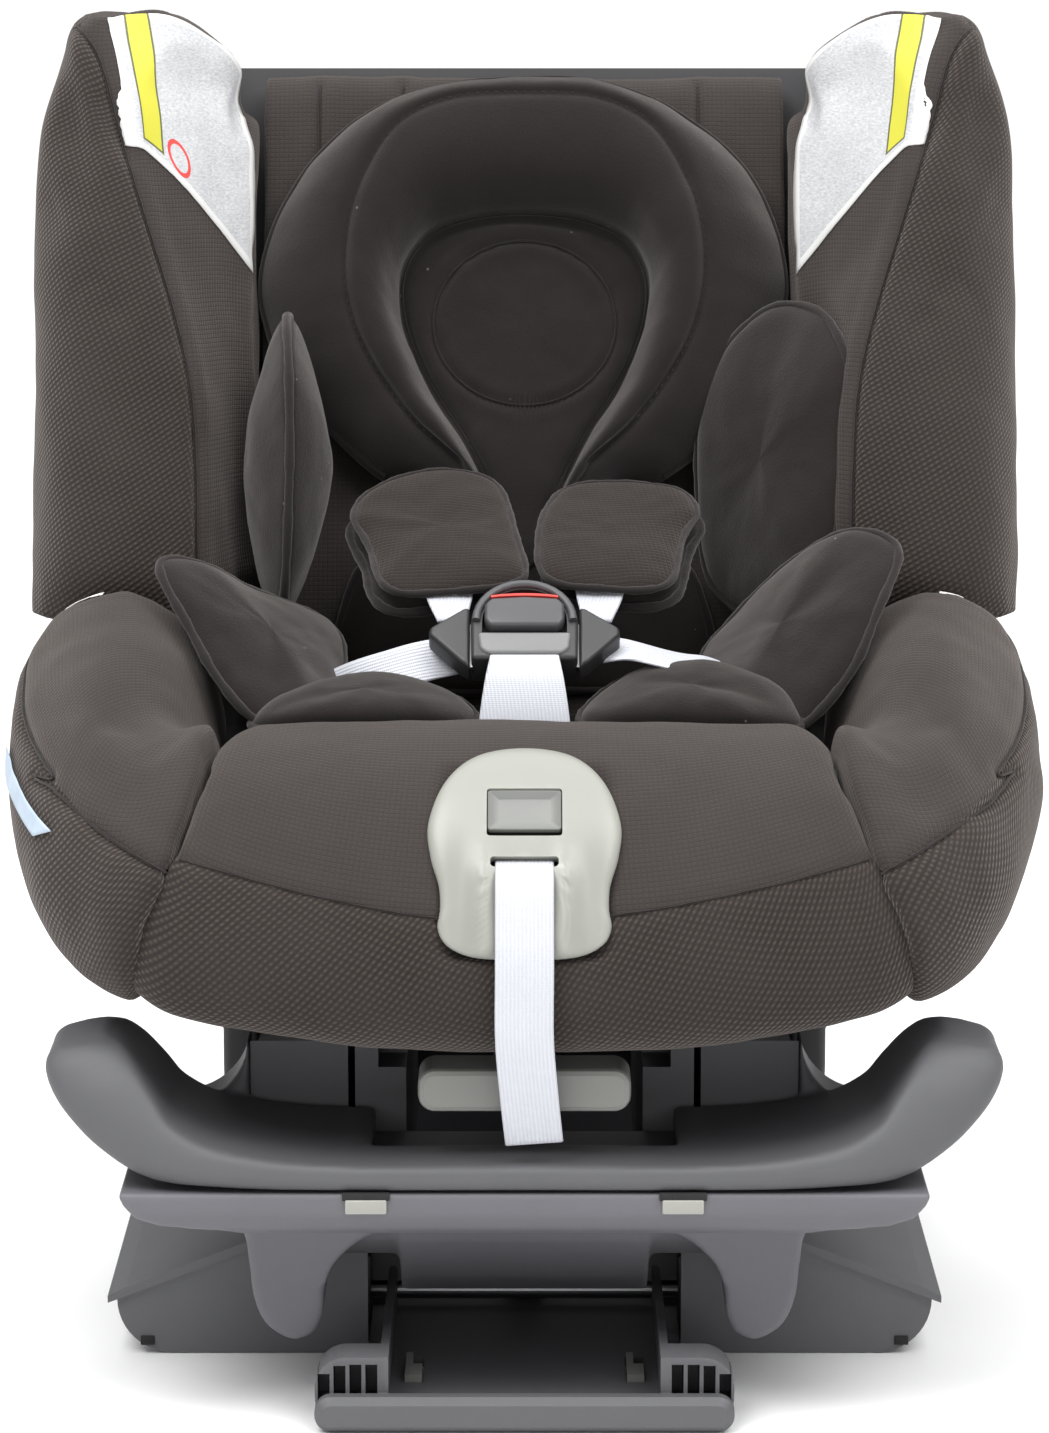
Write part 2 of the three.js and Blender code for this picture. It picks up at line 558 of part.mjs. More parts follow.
// A padded leaf: stations with a centre, a width direction, a normal, and the half width and half thickness there.
function softLeaf(stations, around, along) {
  const rings = stations.map(({ at, wide, normal, half, thick }) => {
    const [c, u, n] = [at, wide, normal].map((v) => new THREE.Vector3(...v));
    [u, n].forEach((v) => v.normalize());
    return [[1, 0], [0.7, 0.85], [0, 1], [-0.7, 0.85], [-1, 0], [-0.7, -0.85], [0, -1], [0.7, -0.85]].map(([a, b]) => {
      const p = c.clone().addScaledVector(u, a * half).addScaledVector(n, b * thick);
      return [p.x, p.y, p.z];
    });
  });
  return smoothLoft(rings, around, along);
}

// Newborn insert wings: the upper pair stand beside the head pad, the lower pair lean on the thigh bolsters.
function upperLeaf(side) {
  const wide = [0, 0.25, 1];
  const normal = [1, 0, -0.07];
  const station = (x, y, z, half, thick) => ({ at: [x, y, z], wide, normal, half, thick });
  const body = softLeaf([station(110, 108, 352, 40, 4), station(110, 92, 354, 47, 5), station(109, 64, 352, 50, 5),
    station(107, 38, 346, 40, 5), station(106, 24, 342, 16, 3)], 12, 6);
  return side > 0 ? body : mirrored(body);
}

function lowerLeaf(side) {
  const wide = [0, 1, 0.2];
  const station = (x, y, z, lean, half, thick) => ({ at: [x, y, z], wide, normal: [-lean, 0, 1], half, thick });
  const body = softLeaf([station(85, -34, 283, 0.3, 18, 3), station(96, -34, 287, 0.4, 34, 5),
    station(122, -34, 300, 0.5, 42, 6), station(146, -36, 314, 0.5, 34, 5), station(158, -38, 327, 0.8, 14, 2.5)], 12, 6);
  return side > 0 ? body : mirrored(body);
}

function insertSeatPad() {
  const body = extrude(band(seatLine(3.4, 6.75, 14), GAP, 14), "x", -92, 92);
  return cut(body, box(-16, 16, -110, -52, 150, 300));
}

const insertBackPad = () => extrude(band(seatLine(2.35, 3.25, 6), GAP, 13), "x", -84, 84);

// ---------------------------------------------------------------- harness
const X_AXIS = [1, 0, 0];

// A strap swept through 3-D points, with its width and width direction changing from one end to the other.
function sweptStrap(points, from, to, steps = 12, grow = 0) {
  const curve = spline(points);
  const rings = [];
  for (let i = 0; i <= steps; i++) {
    const t = i / steps;
    const centre = curve.getPoint(t);
    const along = curve.getTangent(t);
    const across = new THREE.Vector3(...from.wide).lerp(new THREE.Vector3(...to.wide), t);
    across.addScaledVector(along, -across.dot(along)).normalize();
    const normal = new THREE.Vector3().crossVectors(along, across).multiplyScalar(STRAP.thick / 2 + grow);
    across.multiplyScalar((from.width + (to.width - from.width) * t) / 2 + grow);
    rings.push([
      centre.clone().add(across).add(normal), centre.clone().sub(across).add(normal),
      centre.clone().sub(across).sub(normal), centre.clone().add(across).sub(normal),
    ]);
  }
  return loft(rings);
}

const BUCKLE = { at: [0, -62, 302], tilt: 50 };
const ADJUSTER = { at: [0, -211, 255.5], tilt: 45 };

// Places a body drawn with x across, y up the plane and z out of it.
function onPlane(body, { at, tilt }) {
  const place = new THREE.Matrix4().makeTranslation(...at)
    .multiply(new THREE.Matrix4().makeRotationX((tilt * Math.PI) / 180));
  return body.transform(place.elements);
}

const shoulderPath = (s) => [[s * 14, 137.5, 306], [s * 22, 147, 330], [s * 34, 140, 348], [s * 34, 112, 348],
  [s * 34, 84, 352], [s * 34, 50, 352], [s * 33, 10, 340], [s * 31, -30, 321], [s * 31, -46, 306]];
const PLAIN = { wide: X_AXIS, width: STRAP.width };
const shoulderStrap = (s, grow = 0) => sweptStrap(shoulderPath(s), PLAIN, { wide: X_AXIS, width: 24 }, 24, grow);

function chestPad(side) {
  const wide = X_AXIS;
  const station = (x, y, z, n, half, thick) => ({ at: [side * x, y, z], wide, normal: n, half, thick });
  const body = softLeaf([station(36, 86, 353, [0, 0, 1], 20, 3.4), station(37, 74, 353.5, [0, 0, 1], 30, 5.5),
    station(38, 44, 350, [0, -0.2, 1], 33, 6.5), station(38, 8, 339.5, [0, -0.4, 1], 35, 6.5),
    station(36, -18, 327, [0, -0.5, 1], 32, 5.5), station(35, -26, 323, [0, -0.5, 1], 24, 3.4)], 14, 8);
  return cut(body, shoulderStrap(side, 0.5));
}

function lapStrap(side) {
  const path = [[30, -52.5, 294], [46, -50, 291], [64, -40, 284], [86, -18, 268], [108, 12, 254], [124, 38, 244]];
  return sweptStrap(path.map(([x, y, z]) => [side * x, y, z]), { wide: [0, 0.64, 0.77], width: 22 },
    { wide: [0.2, 1, 0.1], width: STRAP.width }, 12);
}

const crotchStrap = () => sweptStrap([[0, -93, 214], [0, -93, 250], [0, -91, 266], [0, -82, 279.5]],
  { wide: X_AXIS, width: 42 }, { wide: X_AXIS, width: 30 }, 8);

// Arch outline of the buckle, inset by a wall.
function archShape(inset) {
  const r = 23.5 - inset;
  const shape = new THREE.Shape();
  shape.moveTo(-r, -25 + inset);
  shape.lineTo(r, -25 + inset);
  shape.lineTo(r, 3);
  shape.absarc(0, 3, r, 0, Math.PI);
  shape.closePath();
  return shape;
}

function buckleBody() {
  const body = extrude(archShape(0), "z", -9, 11, { bevel: 2, curve: 12 });
  const recess = extrude(archShape(3.6), "z", 7.5, 12, { curve: 12 }).intersect(box(-30, 30, -12, 40, 0, 20));
  const pocket = box(-17.9, 17.9, -11.9, 8.3, 2, 14);
  const mouths = SIDES.map(([, s]) => box(s * 18 - 7, s * 18 + 7, -8, 10, -4.5, 0.9));
  return onPlane(cut(body, recess, pocket, ...mouths), BUCKLE);
}

const buckleButton = () => onPlane(extrude(roundedBox(0, -1.8, 35, 19, 3), "z", 5.2, 12, { bevel: 0.8, segments: 1, curve: 3 }), BUCKLE);

function buckleTongue(side) {
  const wing = new THREE.Shape();
  [[24.2, 17], [29, 16], [41, 1], [41, -7], [29, -24], [24.2, -25]].forEach(([x, y], i) => (i ? wing.lineTo(x, y) : wing.moveTo(x, y)));
  const flared = extrude(wing, "z", -7, 6.5, { bevel: 1.2 });
  const body = onPlane(join(flared, box(12, 26, -7.4, 9.4, -4, 0.4)), BUCKLE);
  return side > 0 ? body : mirrored(body);
}

// ---------------------------------------------------------------- harness adjuster
function adjusterTrim() {
  const plate = extrude(band(seatLine(8.95, 11, 14), GAP, 4.6), "x", -41, 41);
  const waist = box(36.5, 60, -260, -150, 196, 232);
  const window = onPlane(box(-16.4, 16.4, -12.4, 12.4, -12, 12), ADJUSTER);
  const slot = box(-18.5, 18.5, -260, -150, 236, 240.5);
  return cut(plate, waist, mirrored(waist), window, slot);
}

const adjusterButton = () =>
  onPlane(extrude(roundedBox(0, 0, 31.6, 23.6, 2.5), "z", -5.5, 5, { bevel: 1, segments: 1, curve: 3 }), ADJUSTER);
const adjusterCam = () => onPlane(box(-19, 19, -21, 14, -17.5, -11), ADJUSTER);

const adjusterStrap = () => sweptStrap([[0, -221, 238], [0, -231, 237.5], [0, -240, 231], [0, -246, 214], [0, -249, 196],
  [0, -247, 166], [2, -240, 136], [4, -231, 114.5]], PLAIN, { wide: X_AXIS, width: 32 }, 16);

// ---------------------------------------------------------------- recline controls
const BRAKE = { y0: -14, y1: 2, half: 5 };

function reclineHandle() {
  const grip = extrude(roundedBox(0, 141, 88, 18, 7), "y", -224, -196, { bevel: 2.5, curve: 4 });
  const tongue = box(-13, 13, -198, 24, 137.5, 144.5);
  const slot = box(-6, 6, BRAKE.y0 - 0.6, BRAKE.y1 + 10, 130, 150);
  return cut(join(grip, tongue), slot);
}

function reclineBrake() {
  const shoe = extrude(arcBand(CRADLE_R - 1, CRADLE_R + 5.4, -4, 4, 6), "x", -8, 8);
  return join(shoe, box(-BRAKE.half, BRAKE.half, BRAKE.y0, BRAKE.y1, 119, 172));
}

function brakeGuide() {
  const outer = box(-11, 11, BRAKE.y0 - 6, BRAKE.y1 + 6, 152, 197);
  return cut(outer, box(-BRAKE.half - 0.5, BRAKE.half + 0.5, BRAKE.y0 - 0.5, BRAKE.y1 + 0.5, 150, 182));
}

// Smooth rail between the tracks that the recline brake presses on.
function brakeRail() {
  const rail = extrude(arcBand(CRADLE_R + 5.8, CRADLE_R + 14, -20, 14), "x", -10, 10);
  const post = box(-10, 10, -62, 60, PAN.wall + GAP, 112);
  const above = extrude(arcBand(200, CRADLE_R + 9, -40, 40), "x", -11, 11);
  return join(rail, cut(post, above));
}

// ---------------------------------------------------------------- assembly
add("base_pan", basePan(), "base");
add("belt_deck", beltDeck(), "base");
add("base_tower", baseTower(), "base");
add("front_beam", frontBeam(), "base");
add("brake_rail", brakeRail(), "darkPlastic");
add("foot_hinge_pin", rod(4, -85, 85, FOOT.hingeY, FOOT.hingeZ), "steel");
for (const [side, s] of SIDES) {
  add(`side_cover_${side}`, s > 0 ? sideCover() : mirrored(sideCover()), "base");
  add(`recline_track_${side}`, recliningTrack(s), "base");
}
PAD_SPOTS.forEach(([x, y], i) => add(`rubber_pad_${i + 1}`, rubberPad(x, y), "rubber"));
SCREW_SPOTS.forEach(([x, y], i) => add(`base_screw_${i + 1}`, baseScrew(x, y), "steel"));

add("prop_foot", propFoot(), "base");
add("foot_clip_left", footClip(-1), "handle");
add("foot_clip_right", footClip(1), "handle");

add("seat_shell", join(seatShell(), brakeGuide()), "darkPlastic");
add("seat_cushion", seatCushion(), "cover");
add("back_pad", backPad(), "cover");
add("head_pad", headPad(), "insert");
add("head_cushion", headCushion(), "insert");
add("insert_seat_pad", insertSeatPad(), "insert");
add("insert_back_pad", insertBackPad(), "insert");
add("crotch_strap", crotchStrap(), "webbing");
add("buckle_body", buckleBody(), "darkPlastic");
add("buckle_button", buckleButton(), "darkPlastic");
add("harness_yoke", box(-27, 27, 131, 134, 278, 300), "steel");
add("adjuster_trim", adjusterTrim(), "trim");
add("adjuster_button", adjusterButton(), "trim");
add("adjuster_cam", adjusterCam(), "darkPlastic");
add("adjuster_strap", adjusterStrap(), "webbing");
add("recline_handle", reclineHandle(), "handle");
add("recline_brake", reclineBrake(), "darkPlastic");
for (const [side, s] of SIDES) {
  add(`recline_roller_${side}`, roller(s), "steel");
  add(`thigh_bolster_${side}`, s > 0 ? thigh : mirrored(thigh), "cover");
  add(`back_wing_${side}`, s > 0 ? wing : mirrored(wing), "cover");
  add(`insert_wing_upper_${side}`, upperLeaf(s), "insert");
  add(`insert_wing_lower_${side}`, lowerLeaf(s), "insert");
  add(`shoulder_strap_${side}`, shoulderStrap(s), "webbing");
  add(`chest_pad_${side}`, chestPad(s), "cover");
  add(`lap_strap_${side}`, lapStrap(s), "webbing");
  add(`buckle_tongue_${side}`, buckleTongue(s), "darkPlastic");
}

export default seat;
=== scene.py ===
"""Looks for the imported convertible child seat. Blender 4.5, metres, +Z up, the child faces -Y.

Shapes are written in millimetres and scaled once, when a mesh or curve is made.
"""
import json
import math

import bmesh
import bpy
import numpy as np
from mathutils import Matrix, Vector, noise
from mathutils.bvhtree import BVHTree


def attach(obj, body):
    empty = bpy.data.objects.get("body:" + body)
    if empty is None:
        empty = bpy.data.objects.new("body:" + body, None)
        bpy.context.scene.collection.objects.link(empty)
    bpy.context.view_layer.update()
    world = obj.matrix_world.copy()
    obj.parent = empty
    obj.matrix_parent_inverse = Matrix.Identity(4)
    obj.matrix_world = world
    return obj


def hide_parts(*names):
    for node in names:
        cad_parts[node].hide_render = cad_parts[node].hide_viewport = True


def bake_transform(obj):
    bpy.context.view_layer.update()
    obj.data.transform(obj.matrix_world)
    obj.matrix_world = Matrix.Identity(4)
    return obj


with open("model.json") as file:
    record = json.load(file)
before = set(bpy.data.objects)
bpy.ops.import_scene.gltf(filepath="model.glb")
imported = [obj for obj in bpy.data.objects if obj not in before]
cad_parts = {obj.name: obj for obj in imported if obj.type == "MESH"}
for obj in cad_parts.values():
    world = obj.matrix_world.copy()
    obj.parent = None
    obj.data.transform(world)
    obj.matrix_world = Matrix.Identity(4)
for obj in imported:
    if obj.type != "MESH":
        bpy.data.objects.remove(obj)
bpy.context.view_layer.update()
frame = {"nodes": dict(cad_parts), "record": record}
MM = 0.001
SIDES = (("left", -1), ("right", 1))

# ---------------------------------------------------------------- curves and grids
CURVE_STEPS = 24
CAP_DEPTH = 14  # how far the weave runs over the end of a band, in mm


def curve_piece(a, b, c, d, count):
    """A smooth curve from b to c, where a and d are the points before and after them."""
    t = np.linspace(0, 1, count, endpoint=False)[:, None]
    return 0.5 * (2 * b + (c - a) * t + (2 * a - 5 * b + 4 * c - d) * t**2 + (3 * b - a - 3 * c + d) * t**3)


def catmull(points, count, closed=False):
    """A smooth line through points, count samples at even arc length."""
    points = np.asarray(points, float)
    if closed:
        ends = [points[-1:], points, points[:2]]
    else:
        ends = [2 * points[:1] - points[1:2], points, 2 * points[-1:] - points[-2:-1]]
    p = np.concatenate(ends)
    pieces = [curve_piece(*p[i - 1:i + 3], CURVE_STEPS) for i in range(1, len(p) - 2)]
    return even(np.concatenate([*pieces, p[-2][None]]), count, closed)


def even(line, count, closed=False):
    """Samples a dense line at even arc length. A closed line doesn't repeat its first point."""
    steps = np.linalg.norm(np.diff(line, axis=0), axis=1)
    along = np.concatenate([[0], np.cumsum(steps)])
    wanted = np.linspace(0, along[-1], count + 1)[:-1] if closed else np.linspace(0, along[-1], count)
    return np.stack([np.interp(wanted, along, line[:, k]) for k in range(line.shape[1])], 1)


def loft(stations, along, around, closed=True):
    """A grid of points, along x around, smooth through stations of equal length."""
    stations = np.asarray(stations, float)
    rails = np.stack([catmull(stations[:, k], along) for k in range(stations.shape[1])], 1)
    return np.stack([catmull(ring, around, closed) for ring in rails])


def mirrored(grid):
    """The same grid on the other side of the seat."""
    return grid[:, ::-1] * np.array([-1, 1, 1])


def band_profile(line, near, far):
    """A closed (y, z) ring between two offsets of a line. A positive offset is on the line's right."""
    line = np.asarray(line, float)
    tangent = np.gradient(line, axis=0)
    tangent /= np.linalg.norm(tangent, axis=1)[:, None]
    right = np.stack([tangent[:, 1], -tangent[:, 0]], 1)
    return np.concatenate([line + right * near, (line + right * far)[::-1]])


# ---------------------------------------------------------------- meshes
PUFF_FRAMES = 18
SMALL = 1e-9


def make_mesh(name, points, faces, material, uvs=None, smooth=True):
    """A mesh object from points in millimetres, with a UV pair for each corner of each face."""
    mesh = bpy.data.meshes.new(name)
    mesh.from_pydata([tuple(p) for p in np.asarray(points) * MM], [], faces)
    mesh.update()
    if uvs is not None:
        layer = mesh.uv_layers.new(name="UVMap")
        corners = np.array([uvs[f][k] for f in range(len(faces)) for k in range(len(faces[f]))])
        layer.data.foreach_set("uv", (corners * MM).ravel())
    if smooth:
        mesh.shade_smooth()
    obj = bpy.data.objects.new(name, mesh)
    bpy.context.scene.collection.objects.link(obj)
    obj.data.materials.append(material)
    return obj


def face_outward(obj):
    """Turns a closed mesh's faces to point out of it."""
    mesh = bmesh.new()
    mesh.from_mesh(obj.data)
    bmesh.ops.recalc_face_normals(mesh, faces=mesh.faces)
    mesh.to_mesh(obj.data)
    mesh.free()
    obj.data.update()


def skin(name, grid, material, closed=True, caps=True):
    """A mesh from a grid of points. Its UVs are real distances, so a weave has one scale everywhere."""
    rows, cols = grid.shape[:2]
    ring = np.concatenate([grid, grid[:, :1]], 1) if closed else grid
    across = np.linalg.norm(np.diff(ring, axis=1), axis=2)
    u = np.concatenate([np.zeros((rows, 1)), np.cumsum(across, axis=1)], 1)
    u -= u[:, -1:] / 2
    v = np.concatenate([[0], np.cumsum(np.linalg.norm(np.diff(grid, axis=0), axis=2).mean(1))])
    faces, uvs = [], []
    for r in range(rows - 1):
        for c in range(cols if closed else cols - 1):
            d = (c + 1) % cols
            faces.append((r * cols + c, r * cols + d, (r + 1) * cols + d, (r + 1) * cols + c))
            uvs.append([(u[i, j], v[i]) for i, j in ((r, c), (r, c + 1), (r + 1, c + 1), (r + 1, c))])
    points = grid.reshape(-1, 3)
    if closed and caps == "band":
        for r in (0, rows - 1):
            for c in range(cols // 2 - 1):
                far = cols - 1 - c
                faces.append((r * cols + c, r * cols + c + 1, r * cols + far - 1, r * cols + far))
                deep = v[r] + CAP_DEPTH
                uvs.append([(u[r, c], v[r]), (u[r, c + 1], v[r]), (u[r, c + 1], deep), (u[r, c], deep)])
    elif closed and caps:
        for r, turned in ((0, True), (rows - 1, False)):
            centre = len(points)
            points = np.concatenate([points, grid[r].mean(0)[None]])
            for c in range(cols):
                d = (c + 1) % cols
                pair = (r * cols + d, r * cols + c) if turned else (r * cols + c, r * cols + d)
                faces.append((*pair, centre))
                here = [(u[r, c], v[r]), (u[r, c + 1], v[r])]
                uvs.append([*(here[::-1] if turned else here), (0, v[r])])
    obj = make_mesh(name, points, faces, material, uvs)
    if closed:
        face_outward(obj)
    return obj


def read_points(obj):
    """A mesh's points, in metres."""
    points = np.empty(len(obj.data.vertices) * 3)
    obj.data.vertices.foreach_get("co", points)
    return points.reshape(-1, 3)


def write_points(obj, points):
    obj.data.vertices.foreach_set("co", points.ravel())
    obj.data.update()


def apply_modifiers(obj):
    """Turns a piece into the mesh that its modifiers make."""
    graph = bpy.context.evaluated_depsgraph_get()
    mesh = bpy.data.meshes.new_from_object(obj.evaluated_get(graph), depsgraph=graph)
    obj.modifiers.clear()
    obj.data = mesh


def subdivide(obj):
    """Splits each face into four, on a smooth surface."""
    modifier = obj.modifiers.new("Smooth", "SUBSURF")
    modifier.levels = 1
    modifier.render_levels = 1
    modifier.use_limit_surface = False
    apply_modifiers(obj)


def normals_of(obj):
    normals = np.empty(len(obj.data.vertices) * 3)
    obj.data.vertex_normals.foreach_get("vector", normals)
    return normals.reshape(-1, 3)


def distance_to(points, line):
    """Distance of each point to a polyline, both in metres."""
    best = np.full(len(points), np.inf)
    for a, b in zip(line[:-1], line[1:]):
        ab = b - a
        t = np.clip(((points - a) @ ab) / max(ab @ ab, 1e-12), 0, 1)
        best = np.minimum(best, np.linalg.norm(points - (a + t[:, None] * ab), axis=1))
    return best


def groove(obj, line, width, depth, puff=0.0):
    """Pulls the surface in along a seam, and lets it stand a little proud beside it. Sizes in mm."""
    points = read_points(obj)
    near = distance_to(points, np.asarray(line) * MM)
    w = width * MM
    inward = depth * MM * np.exp(-((near / w) ** 2))
    proud = puff * MM * np.exp(-(((near - 3.2 * w) / (2.2 * w)) ** 2))
    write_points(obj, points + normals_of(obj) * (proud - inward)[:, None])


def paint(obj, name, values):
    """A named number at each vertex, for a material to read."""
    layer = obj.data.attributes.new(name, "FLOAT", "POINT")
    layer.data.foreach_set("value", np.asarray(values, np.float32))


def puff(obj, pressure, cap):
    """Blows a closed cover up as cloth, keeps each point within cap millimetres, and applies the result."""
    before = read_points(obj)
    cloth = obj.modifiers.new("Cover", "CLOTH")
    cloth.settings.quality = 4
    cloth.settings.mass = 0.3
    cloth.settings.tension_stiffness = 12
    cloth.settings.compression_stiffness = 12
    cloth.settings.shear_stiffness = 4
    cloth.settings.bending_stiffness = 0.4
    cloth.settings.use_pressure = True
    cloth.settings.uniform_pressure_force = pressure
    cloth.settings.effector_weights.gravity = 0
    cloth.collision_settings.use_collision = False
    cloth.point_cache.frame_start = 1
    cloth.point_cache.frame_end = PUFF_FRAMES
    scene = bpy.context.scene
    for number in range(1, PUFF_FRAMES + 1):
        scene.frame_set(number)
    graph = bpy.context.evaluated_depsgraph_get()
    blown = obj.evaluated_get(graph).to_mesh()
    after = np.empty(len(blown.vertices) * 3)
    blown.vertices.foreach_get("co", after)
    obj.evaluated_get(graph).to_mesh_clear()
    obj.modifiers.clear()
    scene.frame_set(1)
    move = after.reshape(-1, 3) - before
    length = np.linalg.norm(move, axis=1)
    keep = np.minimum(1, cap * MM / np.maximum(length, SMALL))
    write_points(obj, before + move * keep[:, None])


def tube(name, points, radius, material, closed=False, sides=3):
    """A round cord along points, as a curve."""
    curve = bpy.data.curves.new(name, "CURVE")
    curve.dimensions = "3D"
    curve.bevel_depth = radius * MM
    curve.bevel_resolution = sides
    curve.use_fill_caps = True
    spline = curve.splines.new("POLY")
    spline.points.add(len(points) - 1)
    for point, co in zip(spline.points, points):
        point.co = (*(np.asarray(co) * MM), 1)
    spline.use_cyclic_u = closed
    curve.materials.append(material)
    obj = bpy.data.objects.new(name, curve)
    bpy.context.scene.collection.objects.link(obj)
    return obj


# ---------------------------------------------------------------- materials


class Nodes:
    """A short way to build a node tree."""

    def __init__(self, name):
        self.material = bpy.data.materials.new(name)
        self.material.use_nodes = True
        self.tree = self.material.node_tree
        self.shader = self.tree.nodes["Principled BSDF"]

    def add(self, kind, **values):
        node = self.tree.nodes.new(kind)
        for key, value in values.items():
            setattr(node, key, value)
        return node

    def link(self, source, target):
        self.tree.links.new(source, target)

    def feed(self, node, socket, value):
        if isinstance(value, bpy.types.NodeSocket):
            self.link(value, node.inputs[socket])
        else:
            node.inputs[socket].default_value = value

    def math(self, operation, a, b=0.0, c=None):
        node = self.add("ShaderNodeMath", operation=operation)
        self.feed(node, 0, a)
        self.feed(node, 1, b)
        if c is not None:
            self.feed(node, 2, c)
        return node.outputs[0]

    def mix(self, factor, a, b):
        node = self.add("ShaderNodeMix", data_type="RGBA")
        self.feed(node, 0, factor)
        self.feed(node, 6, a)
        self.feed(node, 7, b)
        return node.outputs[2]

    def noise(self, where, scale, detail=3.0, rough=0.6):
        node = self.add("ShaderNodeTexNoise")
        self.link(where, node.inputs["Vector"])
        node.inputs["Scale"].default_value = scale
        node.inputs["Detail"].default_value = detail
        node.inputs["Roughness"].default_value = rough
        return node.outputs["Fac"]

    def bump(self, height, strength, distance):
        node = self.add("ShaderNodeBump")
        node.inputs["Strength"].default_value = strength
        node.inputs["Distance"].default_value = distance
        self.link(height, node.inputs["Height"])
        self.link(node.outputs[0], self.shader.inputs["Normal"])

    def place(self):
        """Where a point is on its piece."""
        return self.add("ShaderNodeTexCoord").outputs["Object"]

    def across_and_along(self):
        """The two UV distances, in metres."""
        split = self.add("ShaderNodeSeparateXYZ")
        self.link(self.add("ShaderNodeUVMap", uv_map="UVMap").outputs[0], split.inputs[0])
        return split.outputs[0], split.outputs[1]

    def painted(self, name):
        """A number that paint() left at each vertex."""
        return self.add("ShaderNodeAttribute", attribute_name=name).outputs["Fac"]

    def color(self, source):
        self.link(source, self.shader.inputs["Base Color"])

    def set(self, **values):
        for key, value in values.items():
            self.shader.inputs[key.replace("_", " ")].default_value = value


def rgb(r, g, b):
    """A colour as a screen shows it, 0 to 255, turned to the linear value that a shader needs."""
    return (*((c / 255 / 12.92 if c < 11 else ((c / 255 + 0.055) / 1.055) ** 2.4) for c in (r, g, b)), 1.0)


def shade(color, factor):
    """A colour made darker or lighter."""
    return (*(c * factor for c in color[:3]), 1.0)


def wave(n, coordinate, pitch):
    """0 to 1, one period each pitch metres."""
    turn = n.math("MULTIPLY", coordinate, 2 * math.pi / pitch)
    return n.math("MULTIPLY_ADD", n.math("SINE", turn), 0.5, 0.5)


GRID_PITCH = 0.0022
MESH_PITCH = (0.0026, 0.0030)


def cover_fabric(name, plain, mesh_low, mesh_high, zones=True):
    """Woven seat cover: a fine square grid, and a coarser slanted mesh where the zone number is above 0."""
    n = Nodes(name)
    u, v = n.across_and_along()
    where = n.place()
    slow = n.noise(where, 22, 3)
    fuzz = n.noise(where, 1500, 2)
    lines = [n.math("POWER", wave(n, way, GRID_PITCH), 6.0) for way in (u, v)]
    grid = n.math("SUBTRACT", 1.0, n.math("MAXIMUM", *lines))
    slant = n.math("MULTIPLY_ADD", u, 0.62, v)
    other = n.math("MULTIPLY_ADD", v, -0.35, u)
    threads = n.math("MULTIPLY_ADD", wave(n, other, MESH_PITCH[1]), 0.6, 0.4)
    cells = n.math("POWER", n.math("MULTIPLY", wave(n, slant, MESH_PITCH[0]), threads), 1.3)
    plain_color = n.mix(n.math("MULTIPLY_ADD", grid, 0.55, 0.45), shade(plain, 0.62), plain)
    mesh_color = n.mix(cells, mesh_low, mesh_high)
    zone = n.math("GREATER_THAN", n.painted("zone"), 0.0) if zones else 0.0
    base = n.mix(zone, plain_color, mesh_color)
    worn = n.mix(n.math("MULTIPLY", slow, 0.5), base, shade(plain, 1.5))
    n.color(n.mix(n.math("MULTIPLY", fuzz, 0.25), worn, shade(plain, 0.5)))
    tall = n.add("ShaderNodeMix", data_type="FLOAT")
    n.feed(tall, 0, zone)
    n.feed(tall, 2, n.math("MULTIPLY", grid, 0.35))
    n.feed(tall, 3, cells)
    height = n.math("MULTIPLY_ADD", fuzz, 0.3, tall.outputs[0])
    n.bump(height, 0.75, 0.0007)
    n.set(Roughness=0.92, Sheen_Weight=0.25, Sheen_Roughness=0.45, Specular_IOR_Level=0.2)
    n.shader.inputs["Sheen Tint"].default_value = (0.75, 0.68, 0.64, 1)
    return n.material


def jersey(name, color, fuzz_scale=900.0, pill=True):
    """Brushed knitted cover with a soft nap and a few pale specks of lint."""
    n = Nodes(name)
    where = n.place()
    nap = n.noise(where, fuzz_scale, 4, 0.7)
    slow = n.noise(where, 30, 3)
    base = n.mix(n.math("MULTIPLY_ADD", nap, 0.9, -0.1), shade(color, 0.55), shade(color, 1.5))
    base = n.mix(n.math("MULTIPLY", slow, 0.35), base, shade(color, 1.7))
    if pill:
        cells = n.add("ShaderNodeTexVoronoi")
        n.link(where, cells.inputs["Vector"])
        cells.inputs["Scale"].default_value = 55
        lint = n.math("LESS_THAN", cells.outputs["Distance"], 0.035)
        base = n.mix(n.math("MULTIPLY", lint, 0.5), base, rgb(120, 114, 110))
    n.color(base)
    n.bump(nap, 0.55, 0.0006)
    n.set(Roughness=1.0, Sheen_Weight=0.35, Sheen_Roughness=0.5, Specular_IOR_Level=0.1)
    n.shader.inputs["Sheen Tint"].default_value = (0.7, 0.66, 0.64, 1)
    return n.material


def webbing(name, color):
    """Satin webbing: lengthwise ribs across u, fine picks along v."""
    n = Nodes(name)
    across, along = n.across_and_along()
    ribs = wave(n, across, 0.0016)
    picks = wave(n, along, 0.0009)
    height = n.math("MULTIPLY_ADD", picks, 0.4, ribs)
    slow = n.noise(n.place(), 60, 3)
    woven = n.mix(n.math("MULTIPLY_ADD", height, 0.5, 0.3), shade(color, 0.72), color)
    n.color(n.mix(n.math("MULTIPLY", slow, 0.4), woven, shade(color, 0.8)))
    n.bump(height, 0.5, 0.0004)
    n.set(Roughness=0.42, Sheen_Weight=0.3, Specular_IOR_Level=0.55)
    return n.material


